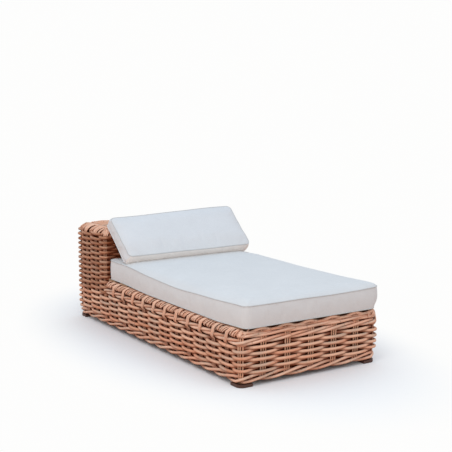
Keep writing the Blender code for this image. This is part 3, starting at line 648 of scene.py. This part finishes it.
stakeRods, borderRods = [], []
for u in range(baseCount):
    onHead = basket["headFirst"] <= u <= basket["headLast"]
    onSide = u >= basket["endStakes"] and not onHead
    for lane in (-1, 0, 1):
        atCorner = u in (0, basket["endStakes"])  # a corner draws the stakes together
        step = lane * basket["lane"] / basket["cornerStep" if atCorner else "stakeStep"]
        tone = 0.45 + 0.4 * chance(u * 3.1 + lane)
        path = [onLoop(baseLoop, u + step, basket["stakeLine"] + skirt(z), z) for z in
                [basket["stakeFoot"] + basket["stakeRise"] * i / 9 for i in range(10)]]
        if onSide:  # comes out under the seat wale and hooks over the edge
            hook = u + step * seatEdge["hookDraw"]
            for z, depth in seatEdge["hookOut"]:
                along = ease((z - seatEdge["hookFrom"]) / seatEdge["hookRun"])
                path.append(onLoop(baseLoop, hook + seatEdge["hookShift"] * along, depth, z))
            inward = [inwardAt(baseLoop, u, 0.01, 0.2)] * len(path)
            overs = [seatEdge["hookOver"] * i / 8 for i in range(9)]
            for over in overs:
                t = seatEdge["hookStart"] + over
                path.append(overEdge(seatEdge, hook + seatEdge["hookShift"], basket["stake"], t))
                inward.append(edgeInward(seatEdge, u, t))
            # painted shade on the stake behind the wale and past the shade point, under the mattress
            stain = [0.55] * 10 + [0.0] * 4 + [max(0.0, 1.3 * (over - seatEdge["shade"])) for over in overs]
            borderRods.append(makeRod(path, inward, stain, tone + 0.25, basket["stake"]))
        elif onHead:  # runs on up the headboard
            headU = u - headOffset + lane * basket["lane"] / basket["headStep"]
            for i in range(5):
                t = i / 4
                low = onLoop(baseLoop, u + step, basket["stakeLine"], 0.240 + 0.08 * t)
                high = onLoop(headLoop, headU, basket["stakeLine"], 0.240 + 0.08 * t)
                path.append(low.lerp(high, ease(t)))
            for i in range(10):
                z = 0.340 + (basket["capBase"] - 0.355) * i / 9
                path.append(onLoop(headLoop, headU, basket["stakeLine"], z))
            # painted shade on the stakes behind the headboard rows
            stakeRods.append(makeRod(path, inwardAt(baseLoop, u, 0.01, 0.2), 0.4, tone, basket["stake"]))
        else:
            path += [onLoop(baseLoop, u + step, basket["stakeLine"] - 0.002, z) for z in basket["footStakeTop"]]
            stakeRods.append(makeRod(path, inwardAt(baseLoop, u, 0.01, 0.2), 0.0, tone + 0.15, basket["stake"]))
    for part in seatEdge["between"] + (seatEdge["nearCorner"] if u == baseCount - 1 else ()):
        spot = u + part + 0.07 * (chance(u + part) - 0.5)
        if any(start < spot < end for start, end in seatEdge["spans"]):
            borderRods.append(shortRod(seatEdge, spot, u + part * 0.83, 1.5))
for start, end in seatEdge["coreSpans"]:  # rods lying along inside the roll
    spots = [start + (end - start) * i / 60 for i in range(61)]
    for t in (0.25, 0.60, 0.95):
        path = [overEdge(seatEdge, u - seatEdge["lean"] * t, seatEdge["core"], t) for u in spots]
        inward = [edgeInward(seatEdge, u, t) for u in spots]
        # painted shade on the rods inside the roll
        borderRods.append(makeRod(path, inward, 0.28, 0.3 + 0.3 * chance(t + end), seatEdge["coreRod"]))
for u in range(1, basket["endStakes"]):  # headboard front
    for lane in (-1, 0, 1):
        spot = u + lane * basket["lane"] / basket["frontStep"]
        path = [onLoop(headLoop, spot, basket["stakeLine"], 0.320 + (basket["capBase"] - 0.335) * i / 10)
                for i in range(11)]
        tone = 0.45 + 0.4 * chance(u * 5.1 + lane)
        # painted shade on the stakes behind the pillow
        stakeRods.append(makeRod(path, inwardAt(headLoop, u, 0.01, 0.4), 0.5, tone, basket["stake"]))
sweepRods("cane_stakes", stakeRods, 6, caneStakes)
sweepRods("cane_seat_border", borderRods, 7, caneBorder)

headBorder = []
for u in range(headCount):
    spots = [(u + lane * basket["lane"] / basket["headStep"], None) for lane in (-1, 0, 1)]
    spots += [(u + part, part) for part in headEdge["between"]]
    for spot, part in spots:
        toCorner = min(abs((spot + 0.2 - corner + 9) % headCount - 9) for corner in headEdge["corners"])
        last = 0.86 if toCorner < 0.5 else 1.45  # corner rods end where they would meet
        if part:
            rod = shortRod(headEdge, spot, spot * 1.7, last)
        else:
            turns = [0.02, 0.10, 0.18] + [0.26 + (last - 0.26) * i / 10 for i in range(11)]
            depths = (0.020, 0.012, 0.006) + (0.0044,) * 11
            path = [overEdge(headEdge, spot, depth, t) for t, depth in zip(turns, depths)]
            inward = [edgeInward(headEdge, spot, t) for t in turns]
            # painted shade where the stake leaves the weave and where it ends under the edge
            stain = [0.6, 0.3] + [0.0] * 10 + [0.4, 0.7]
            rod = makeRod(path, inward, stain, 0.65 + 0.3 * chance(spot * 2.3), basket["stake"])
        low = headEdge["cornerDrop"] * ease(1.0 - toCorner / 0.9)
        rod["path"] = [p + n * low for p, n in zip(rod["path"], rod["inward"])]  # corners are worn rounder
        headBorder.append(rod)
sweepRods("cane_head_border", headBorder, 7, caneBorder)

# headboard top: rods across it, woven over the stakes that run from front to back
cap = {"pitch": 0.0168, "line": 0.0150, "swing": 0.0068, "rod": 0.0081, "stakeStep": 0.1577,
       "leastTurn": 14, "moreTurn": 30, "endTuck": 0.013, "edgeTuck": 0.007, "overhang": 0.02}
r, front, back = basket["capRadius"], basket["headFront"], basket["backFace"]
rollArc = r * math.pi / 2
archLength = 2 * rollArc + (back - front - 2 * r)


def onArch(s):  # centre of curvature and outward direction at a distance over the top from front to back
    if s < rollArc:
        turn = s / r
        return Vector((0, front + r, basket["capBase"])), Vector((0, -math.cos(turn), math.sin(turn)))
    if s > archLength - rollArc:
        turn = (archLength - s) / r
        return Vector((0, back - r, basket["capBase"])), Vector((0, math.cos(turn), math.sin(turn)))
    return Vector((0, front + r + s - rollArc, basket["capBase"])), Vector((0, 0, 1))


capRods = []
count = round(archLength / cap["pitch"])
reachX = basket["halfWidth"] - r
for row in range(count):
    s = (row + 0.5) * archLength / count
    centre, outward = onArch(s)
    lastTurn = math.radians(cap["leastTurn"] + cap["moreTurn"] * ease(outward.z))
    path, inward, stain = [], [], []
    for i in range(101):
        x = -1.0 + 2.0 * i / 100
        bend = r * lastTurn / (reachX + r * lastTurn)
        past = max(0.0, abs(x) - (1.0 - bend)) / bend
        flat = min(abs(x) / (1.0 - bend), 1.0) * reachX * (1 if x > 0 else -1)
        turn = lastTurn * past
        u = flat / cap["stakeStep"] + 3
        c = math.cos(math.pi * (u + row))
        depth = cap["line"] - cap["swing"] * math.copysign(abs(c) ** 0.75, c) + 0.0007 * drift(row + 40, u)
        depth += cap["endTuck"] * ease(past / 0.6) + cap["edgeTuck"] * (1.0 - ease(outward.z * 1.6 - 0.6))
        away = outward * math.cos(turn) + Vector((1 if x > 0 else -1, 0, 0)) * math.sin(turn)
        path.append(centre + Vector((flat, 0.0008 * drift(row + 60, u), 0)) + away * (r - depth))
        inward.append(-away)
        # painted shade, deeper where the rod runs behind the stakes
        stain.append(0.8 * ease((depth - 0.009) / 0.022))
    radius = cap["rod"] * (0.94 + 0.1 * chance(row))
    capRods.append(makeRod(path, inward, stain, 0.2 + 0.6 * chance(row * 2.7 + 9), radius))
sweepRods("cane_head_top", capRods, 8, caneRows, ("woven_head_cap",))

overRods = []
for j in range(1, 6):  # stakes carried from the front over the top to the back
    for lane in (-1, 0, 1):
        x = (j - 3) * cap["stakeStep"] + lane * basket["lane"]
        path, inward = [], []
        for i in range(41):
            s = -cap["overhang"] + (archLength + 2 * cap["overhang"]) * i / 40
            centre, outward = onArch(min(archLength, max(0.0, s)))
            drop = min(0.0, s) + min(0.0, archLength - s)
            path.append(centre + Vector((x, 0, drop)) + outward * (r - cap["line"]))
            inward.append(-outward)
        # a little painted shade on the stakes over the top
        overRods.append(makeRod(path, inward, 0.15, 0.4 + 0.4 * chance(j * 1.9 + lane), basket["stake"]))
sweepRods("cane_head_stakes", overRods, 6, caneStakes)
print("basket woven")


# cushions: boxed covers on the CAD's cushion boxes, swollen by a short cloth run, then piped
mattress = {
    "name": "mattress", "halfX": 0.447, "halfY": 0.781, "corner": 0.034, "boxing": 0.1225,
    "crown": 0.0205, "crownHead": 0.0070, "shoulder": 0.014, "sinkLeft": 0.0195, "sinkFoot": 0.005,
    "edgeSag": 0.004, "bowLeft": 0.021, "bowRight": 0.012, "topLeft": 0.0, "baseRound": 0.0008,
    "pullX": 0.006, "pullY": 0.003, "bulge": 0.004, "cell": 0.0145, "pressure": 1.2, "grow": 0.004, "travel": 0.0045,
    "seamWave": 0.0022, "droop": 0.0, "cornerLow": 0.034, "cornerRight": 0.046, "slump": 0.0, "flare": 0.0,
    "lowLeft": 0.0, "lowRight": 0.019, "lowBase": 0.0, "lowBulge": 0.004, "pressed": 0.0,
    "piping": 0.0030, "fill": 0.8, "sliderFace": 0.781 + 0.0050,
    "place": Matrix.Translation((0.0, -0.2140, 0.3823)),
    "nodes": ["top_panel", "base_panel", "boxing_left", "boxing_right", "boxing_foot", "boxing_zip", "foam"],
}
pillow = {
    "name": "pillow", "halfX": 0.453, "halfY": 0.1635, "corner": 0.026, "boxing": 0.079,
    "crown": 0.017, "crownHead": 0.017, "shoulder": 0.024, "sinkLeft": 0.0, "sinkFoot": 0.0,
    "edgeSag": 0.0, "bowLeft": 0.0, "bowRight": 0.010, "topLeft": 0.014, "baseRound": 0.019,
    "pullX": 0.004, "pullY": 0.003, "bulge": 0.004, "cell": 0.0120, "pressure": 2.2, "grow": 0.012, "travel": 0.0065,
    "seamWave": 0.0022, "droop": 0.002, "cornerLow": 0.024, "cornerRight": 0.024, "slump": 0.013, "flare": 0.009,
    "lowLeft": 0.012, "lowRight": 0.017, "lowBase": 1.0, "lowBulge": 0.011, "pressed": 0.013,
    "piping": 0.0030, "fill": 0.75, "sliderFace": 0.1625 + 0.0050,
    "place": Matrix(((1, 0, 0, 0.0100), (0, 0.7547, -0.6561, 0.4636), (0, 0.6561, 0.7547, 0.5925), (0, 0, 0, 1))),
    "nodes": ["front_panel", "back_panel", "boxing_left", "boxing_right", "boxing_base", "boxing_zip", "foam"],
}
clothLooks = {
    "cover": {"colour": (0.735, 0.735, 0.725), "thread": 0.0017},
    "pillow": {"colour": (0.757, 0.764, 0.768), "litStrip": (0.905, 0.842, 0.790), "thread": 0.0017},
    "piping": {"colour": (0.60, 0.60, 0.585), "thread": 0.0014},
}
coverCloth = {"mattress": clothMaterial("off-white canvas", clothLooks["cover"]),
              "pillow": clothMaterial("off-white canvas, pillow", clothLooks["pillow"])}
pipingCloth = clothMaterial("off-white canvas piping", clothLooks["piping"])


def cushionShape(c):
    hx, hy, half = c["halfX"], c["halfY"], c["boxing"] / 2
    nx, ny, nz = round(2 * hx / c["cell"]), round(2 * hy / c["cell"]), max(6, round(c["boxing"] / c["cell"]))
    index, verts, faces = {}, [], []

    def vertex(i, j, k):
        if (i, j, k) in index:
            return index[i, j, k]
        a, b = -1.0 + 2.0 * i / nx, -1.0 + 2.0 * j / ny
        x, y, r = a * hx, b * hy, c["corner"] if b > 0 else c["cornerRight"] if a > 0 else c["cornerLow"]
        cx, cy = abs(x) - (hx - r), abs(y) - (hy - r)
        if cx > 0 and cy > 0:  # square corner cells onto a quarter round
            p, q = cx / r, cy / r
            x = math.copysign(hx - r + r * p * math.sqrt(1.0 - q * q / 2), x)
            y = math.copysign(hy - r + r * q * math.sqrt(1.0 - p * p / 2), y)
        left, right, foot, head = hx * (1.0 + a), hx * (1.0 - a), hy * (1.0 + b), hy * (1.0 - b)
        edge = min(left, right, foot, head)
        sink = 0.0
        if edge == foot:
            sink = c["sinkFoot"] * ease((0.98 - a) / 0.3)
        elif edge == left:
            sink = c["sinkLeft"] * math.exp(-((b + 0.1) / 0.55) ** 2) + c["sinkFoot"] * (1.0 - b) / 2
        swell = 1.0 - math.exp(-edge / (c["shoulder"] * (1.0 + sink / 0.02)))
        wave = c["seamWave"] * (drift(2.2, b * hy * 4.0) if abs(a) > abs(b) else drift(7.4, a * hx * 4.0))
        level = -1.0 + 2.0 * k / nz
        z = half * level + wave * math.exp(-edge / 0.05) * ease(level)
        z -= sink * (1.0 - swell) * (level + 1.0) / 2  # the upper seam hangs lower where the filling rounds over it
        if k == nz:
            z += (c["crownHead"] + (c["crown"] - c["crownHead"]) * ease((0.72 - b) / 0.3)) * swell
        if k == 0:
            z -= c["baseRound"] * swell
        middle = ease((0.85 - b) / 0.6) * ease((b + 1.0) / 0.35)
        if edge < 0.001:
            z -= c["edgeSag"] * middle * (1.0 - level) / 2
        out = (c["bulge"] * 0.5 if j == ny else c["lowBulge"] if j == 0 else c["bulge"]) * (1.0 - level * level)
        if i in (0, nx):
            x += math.copysign(out, x)
        if j in (0, ny):
            y += math.copysign(out, y)
        x *= 1.0 - c["pullX"] / hx * (1.0 - b * b)
        if b < 0:  # the zip side stays straight for its tape
            y *= 1.0 - c["pullY"] / hy * (1.0 - a * a)
        upper, resting = ease((level + 0.6) / 1.6), ease((-b - 0.5) / 0.5)
        low, high = resting * upper, ease((b - 0.3) / 0.7) * upper
        y -= c["slump"] * 0.7 * low  # the front hangs down over the resting edge
        z -= c["slump"] * low
        y -= c["pressed"] * resting * ease((0.2 - level) / 1.2)  # its own weight presses it into the mattress
        x += c["flare"] * high * max(0.0, a) ** 3
        x -= c["bowLeft"] * middle * max(0.0, -a) ** 3
        x += c["bowRight"] * (1.0 - b * b) * max(0.0, a) ** 3
        loose = c["topLeft"] * ease((0.7 - a) / 1.5) * ease((b + 0.4) / 1.4) * ease((level - 0.35) / 0.65)
        y, z = y - loose, z - 0.65 * loose  # slack upper corner in front of the zip
        spread = c["lowLeft"] * upper if a < 0 else c["lowRight"] * max(c["lowBase"], ease(level + 1.0))
        x += spread * ease((-b - 0.3) / 0.7) * abs(a) ** 3
        sag = c["droop"] * (abs(a) ** 6) * (abs(b) ** 4)  # soft corners
        x -= math.copysign(sag, a)
        y -= math.copysign(sag, b)
        index[i, j, k] = len(verts)
        verts.append((x, y, z))
        return index[i, j, k]

    for i in range(nx):
        for j in range(ny):
            faces.append((vertex(i, j, nz), vertex(i + 1, j, nz), vertex(i + 1, j + 1, nz), vertex(i, j + 1, nz)))
            faces.append((vertex(i, j, 0), vertex(i, j + 1, 0), vertex(i + 1, j + 1, 0), vertex(i + 1, j, 0)))
    ringIJ = [(i, 0) for i in range(nx)] + [(nx, j) for j in range(ny)]
    ringIJ += [(i, ny) for i in range(nx, 0, -1)] + [(0, j) for j in range(ny, 0, -1)]
    for (i, j), (p, q) in zip(ringIJ, ringIJ[1:] + ringIJ[:1]):
        for k in range(nz):
            faces.append((vertex(i, j, k), vertex(p, q, k), vertex(p, q, k + 1), vertex(i, j, k + 1)))
    seams = [[vertex(i, j, k) for i, j in ringIJ] for k in (nz, 0)]
    base = [vertex(i, j, 0) for i in range(nx + 1) for j in range(ny + 1)]
    zipSide = [vertex(i, ny, k) for i in range(nx + 1) for k in range(nz + 1)]
    return verts, faces, seams, base, zipSide


def swellCover(obj, c, held):
    rest = [v.co.copy() for v in obj.data.vertices]
    group = obj.vertex_groups.new(name="held")
    group.add(held, 1.0, "REPLACE")
    cloth = obj.modifiers.new("swell", "CLOTH")
    made = cloth.settings
    made.quality = 4
    made.mass = 0.3
    made.tension_stiffness = made.compression_stiffness = 20.0
    made.shear_stiffness = 8.0
    made.bending_stiffness = 1.2
    made.use_pressure = True
    made.uniform_pressure_force = c["pressure"]
    made.shrink_min = -c["grow"]
    made.effector_weights.gravity = 0.0
    made.vertex_group_mass = "held"
    for step in range(1, 21):
        scene.frame_set(step)
    swollen = obj.evaluated_get(bpy.context.evaluated_depsgraph_get())
    moved = [v.co.copy() for v in swollen.data.vertices]
    obj.modifiers.remove(cloth)
    scene.frame_set(1)
    most = 0.0
    for v, a, b in zip(obj.data.vertices, rest, moved):
        move = b - a
        if move.length > 1e-7:  # eased limit on how far a point may go
            v.co = a + move * (c["travel"] * math.tanh(move.length / c["travel"]) / move.length)
        most = max(most, move.length)
    print(c["name"], "cloth run, largest free move", round(most * 1000, 1), "mm")


def makeCushion(c):
    verts, faces, seams, base, zipSide = cushionShape(c)
    cover = newObject(c["name"] + "_cover", verts, faces, coverCloth[c["name"]])
    mesh = cover.data
    cover.matrix_world = c["place"]
    held = sorted(set(seams[0] + seams[1] + zipSide + (base if c["name"] == "mattress" else [])))
    swellCover(cover, c, held)
    seamEdges = {frozenset(pair) for loop in seams for pair in zip(loop, loop[1:] + loop[:1])}
    crease = mesh.attributes.new("crease_edge", "FLOAT", "EDGE")
    for edge in mesh.edges:
        crease.data[edge.index].value = 0.7 if frozenset(edge.vertices) in seamEdges else 0.0
    mesh.shade_smooth()
    smooth = cover.modifiers.new("smooth", "SUBSURF")
    smooth.levels = smooth.render_levels = 1
    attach(cover, c["name"])
    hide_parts(*[c["name"] + "_" + part for part in c["nodes"]])
    for label, loop, lift in (("upper", seams[0], -0.0006), ("lower", seams[1], 0.0018)):
        path = [mesh.vertices[v].co + Vector((0, 0, lift)) for v in loop]
        cloth = coverCloth["pillow"] if c is pillow and label == "lower" else pipingCloth
        pipe = pipingTube(c["name"] + "_piping_" + label, path, c["piping"], c["place"], cloth)
        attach(pipe, c["name"])


def pipingTube(name, path, radius, place, cloth, sides=8):
    verts, count = [], len(path)
    for i, point in enumerate(path):
        forward = (path[(i + 1) % count] - path[i - 1]).normalized()
        side = forward.cross(Vector((0, 0, 1))).normalized()
        up = side.cross(forward)
        for k in range(sides):
            turn = 2 * math.pi * k / sides
            verts.append(point + side * 0.0006 + (side * math.cos(turn) + up * math.sin(turn)) * radius)
    pipe = newObject(name, verts, tubeFaces(0, count, sides), cloth)
    pipe.data.shade_smooth()
    pipe.matrix_world = place
    smooth = pipe.modifiers.new("smooth", "SUBSURF")
    smooth.levels = smooth.render_levels = 1
    return pipe


makeCushion(mattress)
makeCushion(pillow)
print("cushions sewn")

# zips: two woven tapes with rows of teeth meshing between them, on the boxing side that carries the slider
zipMetal = bpy.data.materials.new("plated zip metal")
zipMetal.use_nodes = True
zipTree = zipMetal.node_tree
zipShader = zipTree.nodes["Principled BSDF"]
zipShader.inputs["Metallic"].default_value = 1.0
zipWhere = zipTree.nodes.new("ShaderNodeTexCoord")
wire, sums, stretch, noise, band, blendColour, split = joiner(zipTree)
scuff = noise(stretch(zipWhere.outputs["Object"], (300.0, 1800.0, 1800.0)), 1.0, 3.0)
wire(blendColour(scuff, (0.36, 0.36, 0.37, 1), (0.62, 0.62, 0.63, 1)), zipShader.inputs["Base Color"])
wire(sums("ADD", sums("MULTIPLY", scuff, 0.3), 0.2), zipShader.inputs["Roughness"])
tapeCloth = clothMaterial("woven zip tape", {"colour": (0.60, 0.58, 0.53), "thread": 0.0009})
zips = {"reach": 0.395, "tapeIn": 0.0014, "tapeOut": 0.0115, "sunk": 0.001, "below": 0.0003, "bare": 0.006,
        "tooth": 0.0017, "pitch": 0.0027, "meshes": 0.0012, "bites": 0.0026}


def boxRow(name, boxes, c, material):
    verts, faces = [], []
    for low, high in boxes:
        first = len(verts)
        verts += [(x, y, z) for x in (low[0], high[0]) for y in (low[1], high[1]) for z in (low[2], high[2])]
        faces += [tuple(first + n for n in face) for face in
                  ((0, 1, 3, 2), (4, 6, 7, 5), (0, 4, 5, 1), (2, 3, 7, 6), (0, 2, 6, 4), (1, 5, 7, 3))]
    obj = newObject(name, verts, faces, material)
    obj.matrix_world = c["place"]
    soften = obj.modifiers.new("soften", "BEVEL")
    soften.width = 0.00025
    soften.segments = 1
    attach(obj, c["name"])


for c in (mattress, pillow):
    face = c["halfY"] + c["bulge"] * 0.5
    top = c["sliderFace"] - zips["below"]
    middle = face + (top - face) * 0.55
    tapes = [((-zips["reach"], face - zips["sunk"], low), (zips["reach"], middle, high)) for low, high in
             ((zips["tapeIn"], zips["tapeOut"]), (-zips["tapeOut"], -zips["tapeIn"]))]
    boxRow(c["name"] + "_zip_tape", tapes, c, tapeCloth)
    teeth = []
    for i in range(round(2 * (zips["reach"] - zips["bare"]) / zips["pitch"])):
        x, side = -zips["reach"] + zips["bare"] + i * zips["pitch"], 1 if i % 2 else -1
        low, high = sorted((side * -zips["meshes"], side * zips["bites"]))
        teeth.append(((x, face - zips["sunk"], low), (x + zips["tooth"], top, high)))
    boxRow(c["name"] + "_zip_teeth", teeth, c, zipMetal)
print("zips set")

# timber of the frame, deck and pads
timberLooks = {
    "frame": {"pale": (0.40, 0.245, 0.135), "deep": (0.20, 0.105, 0.055), "pores": 0.35},
    "slat": {"pale": (0.52, 0.345, 0.20), "deep": (0.31, 0.18, 0.095), "pores": 0.30},
    "pad": {"pale": (0.115, 0.045, 0.028), "deep": (0.045, 0.016, 0.010), "pores": 0.25},
}
timber = {axis: timberMaterial("frame hardwood " + axis, timberLooks["frame"], axis) for axis in "xyz"}
slatTimber = timberMaterial("slat hardwood", timberLooks["slat"], "x")
padTimber = timberMaterial("stained pad", timberLooks["pad"], "x")
for name, node in nodes.items():
    if name.startswith("slat"):
        finish = slatTimber
    elif name.startswith("pad"):
        finish = padTimber
    elif name.startswith("post"):
        finish = timber["z"]
    elif name.startswith("rail"):
        low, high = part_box(name)
        finish = timber["x" if high.x - low.x > high.y - low.y else "y"]
    else:
        continue
    node.material_slots[0].material = finish

for name in ("mattress_zip_slider", "pillow_zip_slider"):
    nodes[name].material_slots[0].material = zipMetal
print("timber and metal finished")

# floor, backdrop colour, light and camera
studio = {"floorSeen": (0.985, 0.97, 0.945), "floorBounce": (0.74, 0.52, 0.42), "white": (0.985, 0.985, 0.98),
          "clearFrom": 0.50, "clearTo": 1.0,
          "sky": (0.84, 0.965, 1.12), "ground": (1.02, 0.93, 0.86), "ambient": 0.84,
          "keyPower": 46.0, "keyPlace": (-2.6, -2.3, 3.7), "keySize": 2.4, "keyColour": (1.0, 0.98, 0.95)}


def seenRays(tree, sums):  # what the camera, metal and glass see, as against what lights the object
    rays = tree.nodes.new("ShaderNodeLightPath")
    mirrored = sums("MAXIMUM", rays.outputs["Is Glossy Ray"], rays.outputs["Is Transmission Ray"])
    return sums("MAXIMUM", rays.outputs["Is Camera Ray"], mirrored)


def chooseShader(tree, factor, first, second, output):
    choose = tree.nodes.new("ShaderNodeMixShader")
    for socket, source in zip(choose.inputs, (factor, first.outputs[0], second.outputs[0])):
        tree.links.new(source, socket)
    tree.links.new(choose.outputs[0], output.inputs["Surface"])


floorPaint = bpy.data.materials.new("pale floor")
floor = newObject("floor", [(-40, -40, 0), (40, -40, 0), (40, 40, 0), (-40, 40, 0)], [(0, 1, 2, 3)], floorPaint)
floorPaint.use_nodes = True
floorTree = floorPaint.node_tree
floorShader = floorTree.nodes["Principled BSDF"]
setInputs(floorShader, {"Roughness": 1.0, "Specular IOR Level": 0.0})
wire, sums, stretch, noise, band, blendColour, split = joiner(floorTree)
seen = seenRays(floorTree, sums)
where = floorTree.nodes.new("ShaderNodeTexCoord")
wire(blendColour(seen, (*studio["floorBounce"], 1), (*studio["floorSeen"], 1)), floorShader.inputs["Base Color"])
fromEdge = floorTree.nodes.new("ShaderNodeVectorMath")  # the floor clears to plain white away from the shadow
fromEdge.operation = "LENGTH"
wire(stretch(where.outputs["Object"], (0.9, 0.5, 0.0)), fromEdge.inputs[0])
clear = sums("MULTIPLY", seen, band(fromEdge.outputs["Value"], studio["clearFrom"], studio["clearTo"]))
white = floorTree.nodes.new("ShaderNodeEmission")
white.inputs["Color"].default_value = (*studio["white"], 1)
chooseShader(floorTree, clear, floorShader, white, floorTree.nodes["Material Output"])

world = bpy.data.worlds.new("studio")
scene.world = world
world.use_nodes = True
worldTree = world.node_tree
worldTree.nodes.clear()
wire, sums, stretch, noise, band, blendColour, split = joiner(worldTree)
seen = seenRays(worldTree, sums)
where = worldTree.nodes.new("ShaderNodeTexCoord")
_, _, height = split(where.outputs["Generated"])
softLight = worldTree.nodes.new("ShaderNodeBackground")
wire(blendColour(band(height, -0.1, 0.7), (*studio["ground"], 1), (*studio["sky"], 1)), softLight.inputs["Color"])
softLight.inputs["Strength"].default_value = studio["ambient"]
plain = worldTree.nodes.new("ShaderNodeBackground")
plain.inputs["Color"].default_value = (*studio["white"], 1)
plain.inputs["Strength"].default_value = 1.0
chooseShader(worldTree, seen, softLight, plain, worldTree.nodes.new("ShaderNodeOutputWorld"))

keyData = bpy.data.lights.new("key", "AREA")
keyData.energy = studio["keyPower"]
keyData.size = studio["keySize"]
keyData.color = studio["keyColour"]
key = bpy.data.objects.new("key", keyData)
scene.collection.objects.link(key)
key.location = studio["keyPlace"]
key.rotation_euler = (Vector((0, -0.2, 0.3)) - key.location).to_track_quat("-Z", "Y").to_euler()

view = {"place": (-3.2147, -5.0615, 1.5909), "azimuth": -33.063, "elevation": 8.462, "roll": 0.062,
        "focal": 984.01, "image": 452}
camData = bpy.data.cameras.new("view")
camData.sensor_width = 36.0
camData.lens = view["focal"] * 36.0 / view["image"]
cam = bpy.data.objects.new("view", camData)
scene.collection.objects.link(cam)
a, e = math.radians(view["azimuth"]), math.radians(view["elevation"])
backward = Vector((math.sin(a) * math.cos(e), -math.cos(a) * math.cos(e), math.sin(e)))
rightward = Vector((math.cos(a), math.sin(a), 0.0))
upward = backward.cross(rightward)
turnTo = Matrix((rightward, upward, backward)).transposed().to_4x4()
cam.matrix_world = Matrix.Translation(view["place"]) @ turnTo @ Matrix.Rotation(math.radians(view["roll"]), 4, "Z")
scene.camera = cam
print("studio set")
